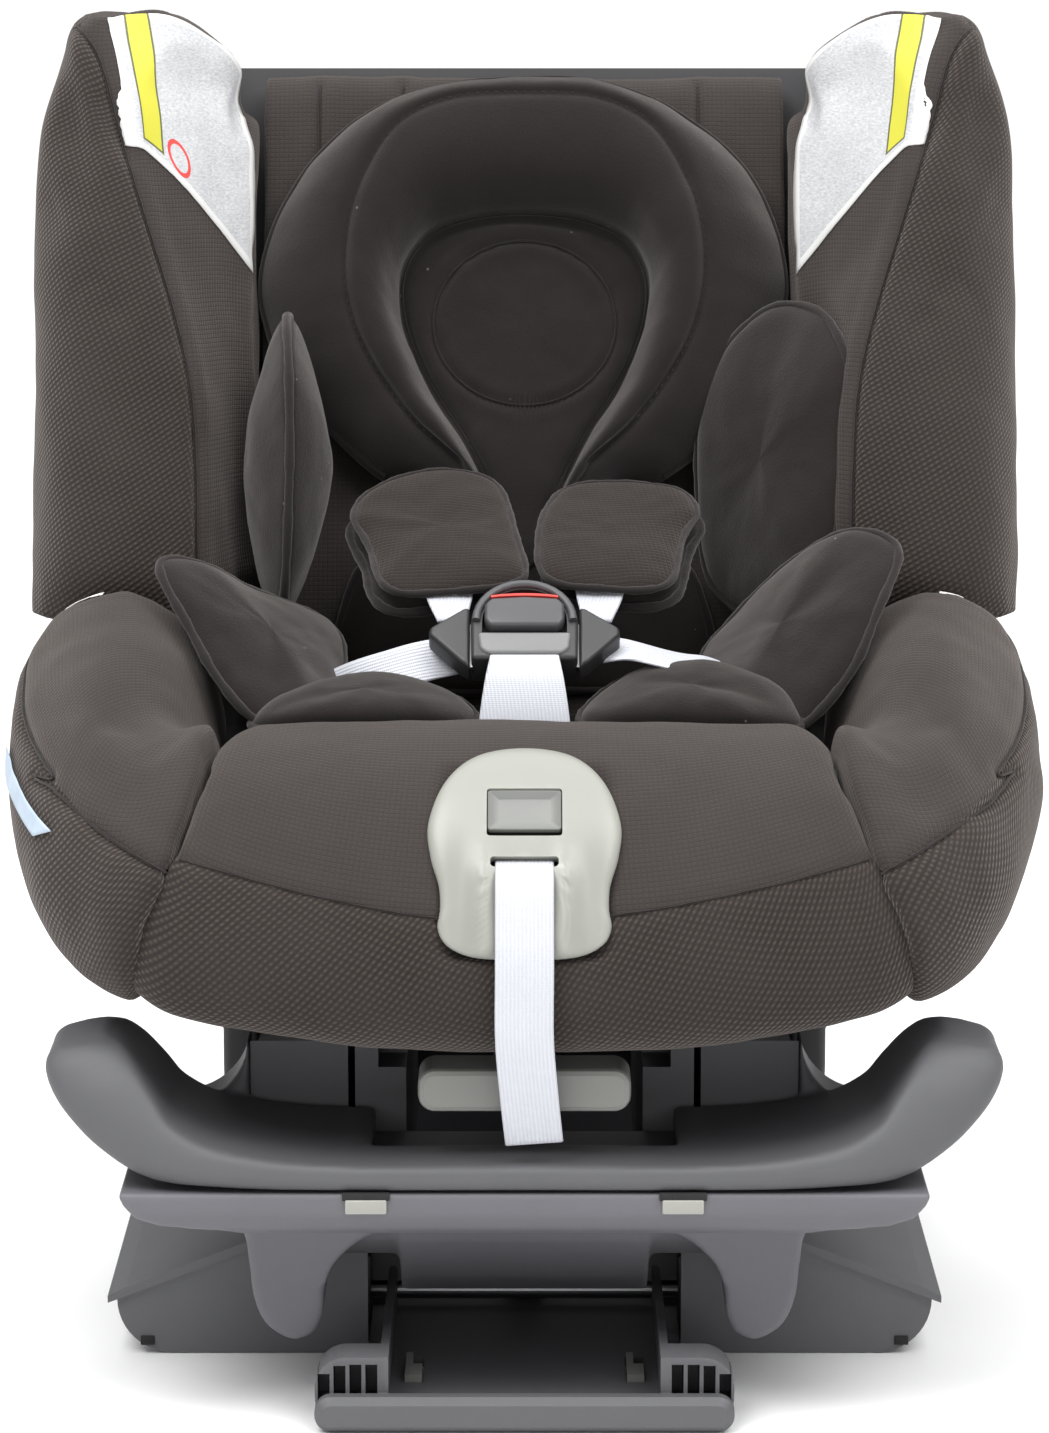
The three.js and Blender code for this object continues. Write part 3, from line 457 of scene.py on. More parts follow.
def plastic(name, color, rough=0.5, grain=0.35, spread=0.12):
    """Moulded plastic: fine spark grain, slow tone changes and slightly paler edges."""
    n = Nodes(name)
    where = n.place()
    fine = n.noise(where, 2600, 2)
    slow = n.noise(where, 14, 4)
    edge = n.add("ShaderNodeNewGeometry").outputs["Pointiness"]
    sharp = n.add("ShaderNodeMapRange")
    n.link(edge, sharp.inputs[0])
    sharp.inputs[1].default_value = 0.51
    sharp.inputs[2].default_value = 0.60
    base = n.mix(slow, shade(color, 1 - spread), shade(color, 1 + spread))
    pale = (*(min(1, c * 1.35 + 0.01) for c in color[:3]), 1.0)
    n.color(n.mix(n.math("MULTIPLY", sharp.outputs[0], 0.6), base, pale))
    n.link(n.math("MULTIPLY_ADD", slow, 0.12, rough - 0.06), n.shader.inputs["Roughness"])
    n.bump(fine, grain, 0.0003)
    n.set(Specular_IOR_Level=0.45)
    return n.material


def metal(name, color):
    """Brushed metal."""
    n = Nodes(name)
    brushed = n.noise(n.place(), 700, 3)
    n.color(n.mix(brushed, shade(color, 0.8), color))
    n.bump(brushed, 0.2, 0.0002)
    n.set(Metallic=1.0, Roughness=0.34)
    return n.material


def rubber(name, color):
    """Matt moulded rubber."""
    n = Nodes(name)
    fine = n.noise(n.place(), 1200, 3)
    n.color(n.mix(fine, shade(color, 0.6), color))
    n.bump(fine, 0.4, 0.0004)
    n.set(Roughness=0.85)
    return n.material


def label(name, mark=False):
    """A printed cloth label with nothing to read on it: a white rim, rows of pale grey, one yellow band."""
    n = Nodes(name)
    across, up = n.painted("across"), n.painted("up")
    where = n.place()
    stretch = n.add("ShaderNodeMapping")
    n.link(where, stretch.inputs[0])
    stretch.inputs["Scale"].default_value = (500, 500, 1400)
    rows = n.noise(stretch.outputs[0], 1.0, 3, 0.7)
    blotch = n.noise(where, 90, 3)
    ink = n.mix(n.math("MULTIPLY_ADD", rows, 2.6, -0.8), rgb(150, 152, 157), rgb(208, 208, 209))
    ink = n.mix(n.math("MULTIPLY", blotch, 0.5), ink, rgb(200, 200, 202))
    rim = n.math("MINIMUM", n.math("MINIMUM", across, n.math("SUBTRACT", 1.0, across)),
                 n.math("MINIMUM", up, n.math("SUBTRACT", 1.0, up)))
    base = n.mix(n.math("LESS_THAN", rim, 0.045), ink, rgb(212, 212, 210))
    for half, start, color in ((0.078, 0.075, rgb(92, 94, 60)), (0.065, 0.09, rgb(194, 190, 60))):
        band = n.math("COMPARE", across, 0.17, half)
        base = n.mix(n.math("MULTIPLY", band, n.math("GREATER_THAN", up, start)), base, color)
    if mark:
        dx = n.math("MULTIPLY", n.math("SUBTRACT", across, 0.36), 1.15)
        dy = n.math("SUBTRACT", up, 0.14)
        far = n.math("SQRT", n.math("ADD", n.math("MULTIPLY", dx, dx), n.math("MULTIPLY", dy, dy)))
        base = n.mix(n.math("COMPARE", far, 0.085, 0.012), base, rgb(205, 70, 66))
    n.color(base)
    n.bump(rows, 0.15, 0.0002)
    n.set(Roughness=0.55)
    return n.material


def satin(name, low, high):
    """A small woven tag."""
    n = Nodes(name)
    where = n.place()
    weave = n.noise(where, 1200, 2)
    slow = n.noise(where, 60, 2)
    n.color(n.mix(slow, low, high))
    n.bump(weave, 0.25, 0.0002)
    n.set(Roughness=0.5)
    return n.material


COVER = cover_fabric("cover_fabric", rgb(53, 48, 46), rgb(25, 22, 20), rgb(73, 65, 58))
THREAD = jersey("dark_thread", rgb(26, 23, 22), 2000, pill=False)
INSERT = jersey("insert_jersey", rgb(30, 27, 26))
INSERT_EDGE = jersey("insert_binding", rgb(33, 30, 30), 1100, pill=False)
PAD_CLOTH = cover_fabric("chest_pad_cloth", rgb(34, 28, 26), rgb(23, 19, 17), rgb(42, 36, 32), zones=False)
LABEL_LEFT = label("label_left", mark=True)
LABEL_RIGHT = label("label_right")
TAG_BLUE = satin("tag_blue", rgb(150, 166, 184), rgb(190, 202, 214))
TAG_WHITE = satin("tag_white", rgb(226, 224, 216), rgb(240, 240, 234))
WEBBING = webbing("harness_webbing", rgb(198, 200, 208))
GREY = plastic("grey_base", rgb(80, 80, 83), 0.55)
BEAM_GREY = plastic("grey_beam", rgb(92, 91, 96), 0.55)
DARK = plastic("dark_shell", rgb(48, 48, 50), 0.6)
BUCKLE = plastic("buckle_black", rgb(43, 43, 44), 0.42, grain=0.2)
TRIM = plastic("trim_pale", rgb(140, 141, 134), 0.34, grain=0.12, spread=0.03)
# partly painted shade: pale handle plastic, darkened below the trim for the seat's shadow over the handle
HANDLE = plastic("handle_pale_painted_shade", rgb(108, 109, 105), 0.42, grain=0.15, spread=0.04)
RED = plastic("button_red", rgb(190, 52, 44), 0.4, grain=0.1)
# partly painted shade: the button's own grey, made darker than the trim for the shade inside the adjuster's
# window
BUTTON_GREY = plastic("button_grey_painted_shade", rgb(120, 121, 118), 0.42, grain=0.1, spread=0.04)
BUCKLE_EDGE = plastic("buckle_edge", rgb(66, 66, 68), 0.38, grain=0.15)
BUCKLE_LIP = plastic("buckle_lip", rgb(112, 112, 112), 0.4, grain=0.15)
CATCH = plastic("catch_pale", rgb(140, 140, 134), 0.45, grain=0.15, spread=0.04)
STEEL = metal("plated_steel", (0.30, 0.30, 0.31, 1))
RUBBER = rubber("black_rubber", rgb(34, 34, 34))

CAD_LOOKS = {
    "base_plastic": GREY, "dark_plastic": DARK, "trim_plastic": TRIM, "handle_plastic": HANDLE,
    "steel": STEEL, "rubber": RUBBER, "cover_fabric": COVER, "insert_fabric": INSERT, "webbing": WEBBING,
}
SLOT_OF = {part["node"]: part["material_slot"] for part in frame["record"]["subparts"]}


CAD_EDGE = 0.8


def dress_cad():
    """The procedural material on every CAD node, and a small rounded edge on the hard ones."""
    for name, node in frame["nodes"].items():
        look = CAD_LOOKS[SLOT_OF[name]]
        for slot in node.material_slots:
            slot.material = look
        if look not in (COVER, INSERT, WEBBING):
            soften = node.modifiers.new("Edges", "BEVEL")
            soften.width = CAD_EDGE * MM
            soften.segments = 2
            soften.limit_method = "ANGLE"
            soften.angle_limit = math.radians(40)
            soften.harden_normals = False


# ---------------------------------------------------------------- camera, lights, floor
CAMERA_AT = (0.0, -2.25, 0.66)
CAMERA_TO = (0.0, 0.0, 0.258)
CAMERA_LENS = 127.1
FLOOR_REACH = 25000
FLOOR_Z = -0.4
WORLD_STRENGTH = 0.42


def aim(obj, target):
    """Points a camera or light at a place."""
    obj.rotation_euler = (Vector(target) - obj.location).to_track_quat("-Z", "Y").to_euler()


def make_camera():
    data = bpy.data.cameras.new("camera")
    data.lens = CAMERA_LENS
    data.sensor_width = 36
    data.clip_end = 50
    camera = bpy.data.objects.new("camera", data)
    camera.location = CAMERA_AT
    bpy.context.scene.collection.objects.link(camera)
    aim(camera, CAMERA_TO)
    bpy.context.scene.camera = camera


def area_light(name, at, to, size, power):
    data = bpy.data.lights.new(name, "AREA")
    data.shape = "RECTANGLE"
    data.size, data.size_y = size
    data.energy = power
    light = bpy.data.objects.new(name, data)
    light.location = at
    bpy.context.scene.collection.objects.link(light)
    aim(light, to)


def sky_light(at, strength):
    """A soft light that falls evenly on everything, from a direction instead of a place."""
    data = bpy.data.lights.new("sky", "SUN")
    data.energy = strength
    data.angle = math.radians(70)
    light = bpy.data.objects.new("sky", data)
    light.location = at
    bpy.context.scene.collection.objects.link(light)
    aim(light, (0, 0, 0))


def make_stage():
    """A wide pale floor, one broad sky light, and two large soft lights and a low one from the front."""
    ends = (-FLOOR_REACH, FLOOR_REACH)
    grid = np.array([[(x, y, FLOOR_Z) for x in ends] for y in ends], float)
    n = Nodes("floor")
    n.color(n.mix(n.noise(n.place(), 3, 2), (0.86, 0.86, 0.86, 1), (0.9, 0.9, 0.9, 1)))
    n.set(Roughness=0.9)
    skin("studio_floor", grid, n.material, closed=False)
    sky_light((0, 0.3, 2.8), 2.5)
    area_light("key", (-1.3, -1.3, 2.9), (0, 0, 0.3), (1.8, 1.8), 76)
    area_light("fill", (1.5, -1.3, 2.7), (0, 0, 0.3), (1.8, 1.8), 58)
    area_light("low", (0, -2.6, 0.5), (0, 0, 0.15), (2.4, 0.6), 9)
    world = bpy.data.worlds.new("studio")
    bpy.context.scene.world = world
    world.use_nodes = True
    background = world.node_tree.nodes["Background"]
    background.inputs[0].default_value = (1, 1, 1, 1)
    background.inputs[1].default_value = WORLD_STRENGTH


# ---------------------------------------------------------------- places on the seat
FRONT = np.array([0.0, 0.984, -0.176])  # seams are laid on from the front and a little above
BACK_FOOT = np.array([0.0, 123.3, 364.0])
BACK_UP = np.array([0.0, 0.3485, 0.9373])
BACK_OUT = np.array([0.0, -0.9373, 0.3485])
BACK_LOW = (72, 226)  # y and z where the face of the back starts
BACK_SLOPE = (116, 312)  # how far it goes back, and up
RAY_START = 300
RAY_MISS = 30
PILLOW_RINGS = 12


def back_y(z):
    """How far back the front face of the seat's back is, at height z."""
    return BACK_LOW[0] + (z - BACK_LOW[1]) * BACK_SLOPE[0] / BACK_SLOPE[1]


def on_back(x, up, out):
    """A point by its place on the seat's back: across, up along it, and out from it."""
    return BACK_FOOT + np.array([x, 0, 0]) + BACK_UP * up + BACK_OUT * out


def put(obj, slot, *nodes, body="seat", fill=None):
    """Makes a piece ride on its body, and stand for its CAD nodes."""
    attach(obj, body)
    if nodes:
        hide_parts(*nodes)
    return obj


def surface(obj):
    """A tree for finding points on a mesh, in millimetres."""
    points = read_points(obj) / MM
    return BVHTree.FromPolygons([tuple(p) for p in points], [tuple(f.vertices) for f in obj.data.polygons])


def laid(obj, points, count=70, closed=False):
    """A smooth line through points, laid on a surface from the front."""
    tree = surface(obj)
    line = []
    for point in catmull(points, count, closed):
        hit = tree.ray_cast(Vector(point - FRONT * RAY_START), Vector(FRONT))[0]
        if hit is None or (hit - Vector(point)).length > RAY_MISS:
            hit = tree.find_nearest(Vector(point))[0]
        line.append(np.array(hit))
    return np.array(line)


def relaxed(line, rounds=2):
    """A line with its small kinks averaged away."""
    for _ in range(rounds):
        line[1:-1] = line[1:-1] * 0.5 + (line[:-2] + line[2:]) * 0.25
    return line


def seam(obj, points, width=2.0, depth=1.8, proud=0.7, count=70, closed=False):
    """Sews a seam into a surface from the front, and gives back its line."""
    line = relaxed(laid(obj, points, count, closed))
    groove(obj, np.concatenate([line, line[:1]]) if closed else line, width, depth, proud)
    return line


def seen(points):
    """The (x, z) of points along the direction that the seams are laid in."""
    points = np.asarray(points, float)
    return np.stack([points[:, 0], points[:, 2] - points[:, 1] * FRONT[2] / FRONT[1]], 1)


def outside(points, outline):
    """How far each point is outside a closed outline as seen from the front: below 0 inside it."""
    p = seen(points)
    ring = seen(outline)
    best = np.full(len(p), np.inf)
    inside = np.zeros(len(p), bool)
    for a, b in zip(ring, np.roll(ring, -1, 0)):
        ab = b - a
        t = np.clip(((p - a) @ ab) / max(ab @ ab, SMALL), 0, 1)
        best = np.minimum(best, np.linalg.norm(p - a - t[:, None] * ab, axis=1))
        if a[1] != b[1]:
            crosses = (a[1] > p[:, 1]) != (b[1] > p[:, 1])
            inside ^= crosses & (p[:, 0] < ab[0] * (p[:, 1] - a[1]) / ab[1] + a[0])
    return np.where(inside, -best, best)


def crumple(obj, size, height, seed=0.0):
    """Slow bumps over a surface, in mm, so that nothing soft is perfectly smooth."""
    points = read_points(obj)
    scale = 1 / (size * MM)
    bumps = np.array([noise.fractal(Vector(p * scale + seed), 0.8, 2.1, 3) for p in points])
    write_points(obj, points + normals_of(obj) * (bumps * height * MM)[:, None])


def stitches(name, line, normals, material, pitch, length, radius, lift=0.2):
    """A row of small threads along a line."""
    steps = np.linalg.norm(np.diff(line, axis=0), axis=1).sum() / pitch
    centres = even(np.concatenate([line, normals], 1), max(3, int(steps)))
    points, faces = [], []
    for i in range(1, len(centres) - 1):
        at, up = centres[i, :3], centres[i, 3:] / np.linalg.norm(centres[i, 3:])
        along = centres[i + 1, :3] - centres[i - 1, :3]
        along /= np.linalg.norm(along)
        side = np.cross(up, along)
        start = len(points)
        at = at + up * lift
        points += [at - along * length / 2, at + side * radius, at + up * radius, at - side * radius,
                   at + along * length / 2]
        faces += [(start, start + 1, start + 2), (start, start + 2, start + 3),
                  (start + 4, start + 2, start + 1), (start + 4, start + 3, start + 2),
                  (start, start + 3, start + 1), (start + 4, start + 1, start + 3)]
    return make_mesh(name, points, faces, material, smooth=False)


def line_normals(obj, line):
    """Which way a surface faces at each point of a line on it."""
    tree = surface(obj)
    return np.array([np.array(tree.find_nearest(Vector(p))[1]) for p in line])


def reuv(obj, centre, across, up):
    """Flat UVs for a leaf, so that its weave runs straight."""
    points = read_points(obj) - centre * MM
    flat = np.stack([points @ across, points @ up], 1)
    loops = np.empty(len(obj.data.loops), np.int32)
    obj.data.loops.foreach_get("vertex_index", loops)
    obj.data.uv_layers[0].data.foreach_set("uv", flat[loops].ravel())


def pillow(name, outline, thick, material, sag=0.0, back=0.7, power=2.6, curve=0.5, facing=None):
    """A padded leaf: a closed outline filled on both sides, thickest in the middle. Its UVs are flat."""
    edge = catmull(outline, 8 * len(outline), closed=True)
    centre = edge.mean(0)
    if facing is None:
        facing = np.linalg.svd(edge - centre)[2][2]
        facing = facing if facing[1] < 0 else -facing
    out = np.asarray(facing, float) / np.linalg.norm(facing)
    across = np.cross([0, 0, 1.0], out)
    across /= np.linalg.norm(across)
    up = np.cross(out, across)
    grids = []
    for side, depth in ((1, 1.0), (-1, back)):
        steps = np.linspace(0.04, 1, PILLOW_RINGS)
        for f in steps if side > 0 else np.linspace(1, 0.04, PILLOW_RINGS)[1:]:
            tall = depth * thick * (1 - f**power) ** curve
            grids.append(centre + (edge - centre) * f + out * (side * tall + sag * (1 - f * f)))
    obj = skin(name, np.array(grids), material)
    reuv(obj, centre, across, up)
    return obj, edge


def mirror(points):
    """The same points on the other side of the seat."""
    return np.asarray(points, float) * np.array([-1, 1, 1])


# ---------------------------------------------------------------- seat cushion, bolsters, wings, back
NOSE_MIDDLE = [
    (90, 274), (70, 232), (28, 215), (-40, 224), (-100, 254), (-146, 278), (-188, 272), (-222, 242),
    (-240, 204), (-239, 174), (-220, 156), (-190, 158),
]
NOSE_EDGE = [
    (84, 266), (62, 236), (22, 222), (-40, 230), (-100, 254), (-146, 277), (-186, 266), (-212, 242),
    (-222, 212), (-216, 184), (-204, 174), (-180, 176),
]
NOSE_HALF = (128, 130, 130, 129, 129, 130, 135, 144, 156, 161, 161, 160)
CUSHION_THICK = 14
CUSHION_TURN = math.pi / 2 * 0.93  # sections crowd towards the cushion's sides
DENT_FADE = 8
DENT_DEPTH = 9


def cushion_section(t, half):
    """The cushion's closed section at t, from -1 to 1 across the seat."""
    blend = abs(t) ** 2.6
    middle = np.array(NOSE_MIDDLE, float)
    edge = np.array(NOSE_EDGE, float)
    line = middle + (edge - middle) * blend
    line = catmull(np.column_stack([np.array(NOSE_HALF) * t, line]), half)
    near_seam = max(0.0, (abs(t) - 0.90) / 0.10)
    profile = band_profile(line[:, 1:], -4.5 * near_seam**2, -CUSHION_THICK)
    return np.column_stack([np.concatenate([line[:, 0], line[::-1, 0]]), profile])


def dent_under_trim(obj):
    """Presses the cushion in behind the adjuster's plate, where the shell's opening is."""
    points = read_points(obj) / MM
    x, y, z = points.T
    inside = [(37 - abs(x)) / DENT_FADE, (z - 199) / DENT_FADE, (272 - z) / DENT_FADE]
    near = np.prod(np.clip(inside, 0, 1), axis=0) * (y < -170)
    points += np.outer(near * DENT_DEPTH, [0, 0.75, -0.66])
    write_points(obj, points * MM)


def seat_cushion():
    """The cover over the seat, with its nose rolled down, a cross seam, and mesh cloth below that."""
    half = 96
    turns = np.sin(np.linspace(-1, 1, 67) * CUSHION_TURN) / math.sin(CUSHION_TURN)
    grid = np.stack([cushion_section(t, half) for t in turns])
    obj = skin("seat_cushion_cover", grid, COVER, caps="band")
    puff(obj, 3.0, 5)
    crumple(obj, 60, 1.4, seed=3.0)
    subdivide(obj)
    mesh_line = [
        (-158, -216, 232), (-142, -222, 238), (-111, -230, 231), (-78, -236, 224), (-41, -240, 218),
        (0, -241, 216), (40, -240, 219), (74, -236, 224), (110, -231, 231), (142, -222, 238),
        (158, -216, 232),
    ]
    below = catmull(mesh_line, 40)
    outline = np.concatenate([below, [(190, -200, 120), (-190, -200, 120)]])
    paint(obj, "zone", -outside(read_points(obj) / MM, outline))
    line = seam(obj, mesh_line[1:-1], width=1.6, depth=0.9, proud=0.4, count=90)
    dent_under_trim(obj)
    put(obj, "cover_fabric", "seat_cushion", fill=0.7)
    put(tube("cushion_cross_seam", line - line_normals(obj, line) * 0.3, 0.45, THREAD), "cover_fabric")
    return obj


BOLSTER = [
    [(150, 72, 212), (174, 72, 198), (198, 72, 206), (213, 72, 236), (205, 72, 268), (180, 72, 284),
     (152, 72, 272), (142, 72, 240)],
    [(150, 20, 208), (174, 20, 193), (203, 20, 202), (221, 20, 240), (211, 20, 280), (180, 20, 299),
     (150, 20, 286), (138, 20, 250)],
    [(150, -22, 206), (174, -22, 190), (204, -24, 198), (224, -25, 246), (213, -24, 300), (180, -20, 318),
     (148, -20, 302), (136, -22, 262)],
    [(148, -62, 204), (174, -65, 188), (204, -68, 196), (224, -68, 248), (215, -66, 292), (180, -62, 312),
     (149, -58, 299), (136, -58, 262)],
    [(148, -90, 204), (172, -105, 184), (202, -114, 190), (220, -120, 236), (209, -116, 276),
     (179, -104, 300), (151, -94, 290), (137, -90, 256)],
    [(148, -110, 202), (170, -140, 178), (194, -158, 184), (206, -172, 220), (193, -166, 256),
     (170, -142, 282), (149, -120, 280), (136, -108, 254)],
    [(148, -130, 198), (166, -168, 173), (182, -190, 180), (184, -206, 212), (172, -200, 244),
     (154, -172, 270), (140, -142, 280), (133, -118, 258)],
    [(148, -146, 196), (160, -184, 172), (164, -210, 180), (161, -225, 206), (149, -218, 237),
     (137, -190, 266), (131, -158, 281), (130, -122, 264)],
]
BOLSTER_SEAM = [
    (186, -20, 322), (200, -22, 318), (212, -24, 309), (218, -40, 298), (219, -66, 284), (214, -95, 270),
    (200, -125, 256), (181, -160, 242), (165, -185, 236), (145, -221, 231),
]


def thigh_bolster(side, sign):
    """A fat roll beside the cushion, with a seam between its mesh side and its plain top."""
    stations = np.array(BOLSTER, float)
    lead = stations[:1] + [0, 6, 0]
    lead = lead.mean(1, keepdims=True) + (lead - lead.mean(1, keepdims=True)) * 0.8
    last = stations[-1:]
    tail = last.mean(1, keepdims=True) + (last - last.mean(1, keepdims=True)) * 0.75
    grid = loft(np.concatenate([lead, stations, tail + [-5, 3, 0]]), 64, 72)
    if sign < 0:
        grid = mirrored(grid)
    obj = skin("thigh_bolster_cover_" + side, grid, COVER)
    puff(obj, 3.0, 4)
    crumple(obj, 55, 1.6, seed=7.0 * sign)
    subdivide(obj)
    points = np.array(BOLSTER_SEAM, float) * [sign, 1, 1]
    inner = np.array([(131, -180, 262), (120, -120, 270), (130, -20, 300), (160, 30, 330)]) * [sign, 1, 1]
    plain = np.concatenate([catmull(points, 60), inner])
    paint(obj, "zone", outside(read_points(obj) / MM, plain))
    line = seam(obj, points, width=2.2, depth=1.6, proud=0.9, count=100)
    put(obj, "cover_fabric", "thigh_bolster_" + side, fill=0.75)
    put(tube("bolster_seam_" + side, line - line_normals(obj, line) * 0.35, 0.6, THREAD), "cover_fabric")
    return obj


def wing_ring(z, front, seam_x, seam_y, rear_x=200):
    """One level of a side wing. seam_x and seam_y are where the outer and the inner cloth meet."""
    b = back_y(z)
    return [
        (rear_x, b + 8, z), (221, b - 24, z), (223, b - 72, z), (208, b + front + 8, z),
        ((208 + seam_x) / 2, b + front, z), (seam_x, b + seam_y, z),
        (seam_x * 0.42 + 74, b + seam_y * 0.55, z), (122, b - 8, z), (158, b + 12, z),
    ]


WING = [
    wing_ring(300, -96, 147, -86), wing_ring(330, -110, 148, -92), wing_ring(400, -110, 152, -88),
    wing_ring(440, -108, 161, -85), wing_ring(480, -105, 174, -85), wing_ring(514, -99, 186, -87, 198),
    [(196, 196, 545), (213, 172, 546), (216, 130, 546), (211, 108, 548), (205, 101, 549), (194, 104, 546),
     (160, 138, 536), (129, 170, 522), (160, 202, 535)],
    [(193, 197, 560), (207, 176, 561), (211, 138, 561), (209, 121, 562), (206, 115, 562), (198, 114, 562),
     (166, 140, 563), (133, 166, 542), (160, 196, 556)],
    [(189, 190, 567), (200, 172, 568), (204, 144, 568), (203, 130, 568), (201, 124, 568), (196, 122, 568),
     (169, 143, 569), (139, 164, 550), (162, 188, 565)],
]
WING_SEAM = [
    (208, 118, 563), (201, 108, 556), (195, 102, 545), (188, 95, 520), (173, 80, 474), (160, 66, 434),
    (152, 50, 401), (149, 35, 364), (148, 20, 328), (147, 12, 304),
]


def back_wing(side, sign):
    """A tall side wing, with a seam between its mesh side and its plain inner face."""
    grid = loft(WING, 66, 80)
    if sign < 0:
        grid = mirrored(grid)
    obj = skin("back_wing_cover_" + side, grid, COVER)
    puff(obj, 2.5, 4)
    crumple(obj, 70, 1.6, seed=11.0 * sign)
    subdivide(obj)
    points = np.array(WING_SEAM, float) * [sign, 1, 1]
    inner = np.array([(100, 0, 290), (100, 120, 420), (110, 170, 560), (150, 180, 590)]) * [sign, 1, 1]
    paint(obj, "zone", outside(read_points(obj) / MM, np.concatenate([catmull(points, 60), inner])))
    line = seam(obj, points, width=2.2, depth=1.6, proud=0.8, count=110)
    put(obj, "cover_fabric", "back_wing_" + side, fill=0.75)
    put(tube("wing_seam_" + side, line - line_normals(obj, line) * 0.35, 0.6, THREAD), "cover_fabric")
    return obj


def back_panel():
    """The flat cover over the seat's back, with a rounded top edge and sewn channels."""
    heights = [226, 280, 340, 400, 460, 505, 524, 532, 536]
    depths = [0, 0, 0, 0, 0, 1, 3, 7, 14]
    line = catmull([(back_y(z) + d, z) for z, d in zip(heights, depths)], 60)
    ring = band_profile(line[::-1], -0.5, -14)
    rows = []
    for x in np.linspace(-124, 124, 84):
        sag = 5 * (abs(x) / 124) ** 4
        rows.append(np.column_stack([np.full(len(ring), x), ring[:, 0] - sag, ring[:, 1]]))
    obj = skin("back_cover", np.array(rows), COVER, caps="band")
    crumple(obj, 60, 1.6, seed=5.0)
    subdivide(obj)
    paint(obj, "zone", np.full(len(obj.data.vertices), -1.0))
    put(obj, "cover_fabric", "back_pad", fill=0.5)
    for number, x in enumerate((-98, -58, 83)):
        line = seam(obj, [(x, back_y(z), z) for z in (532, 500, 460, 420)], width=1.8, depth=1.5, proud=0.6)
        put(tube(f"back_channel_seam_{number + 1}", line, 0.4, THREAD), "cover_fabric")
    return obj


# ---------------------------------------------------------------- head pad
HEAD_OUTER = [(0, 178), (42, 174), (82, 156), (112, 124), (126, 84), (121, 46), (100, 12), (66, -18),
              (36, -26), (14, -46), (0, -62)]
HEAD_STITCH = [(0, 163), (34, 161), (60, 148), (77, 120), (84, 92), (83, 64), (74, 38), (54, 8), (30, -14),
               (12, -44), (0, -61)]
HEAD_BASIN = [(0, 108), (28, 105), (47, 96), (57, 79), (57, 60), (51, 40), (41, 20), (28, 0), (18, -20),
              (9, -42), (0, -60)]
HEAD_RISE = (1, 1, 1, 1, 1, 0.98, 0.92, 0.8, 0.5, 0.12, 0)
HEAD_FLOOR = 13
HEAD_PAD_CENTRE = (0, 57)


def head_ring(half, per=8):
    """A whole ring from its right half, with per samples for each of its points."""
    half = np.asarray(half, float)
    whole = np.concatenate([half, (half * [-1, 1, *np.ones(half.shape[1] - 2)])[-2:0:-1]])
    closed = np.concatenate([whole[-1:], whole, whole[:2]])
    return np.concatenate([curve_piece(*closed[i - 1:i + 3], per) for i in range(1, len(closed) - 2)])


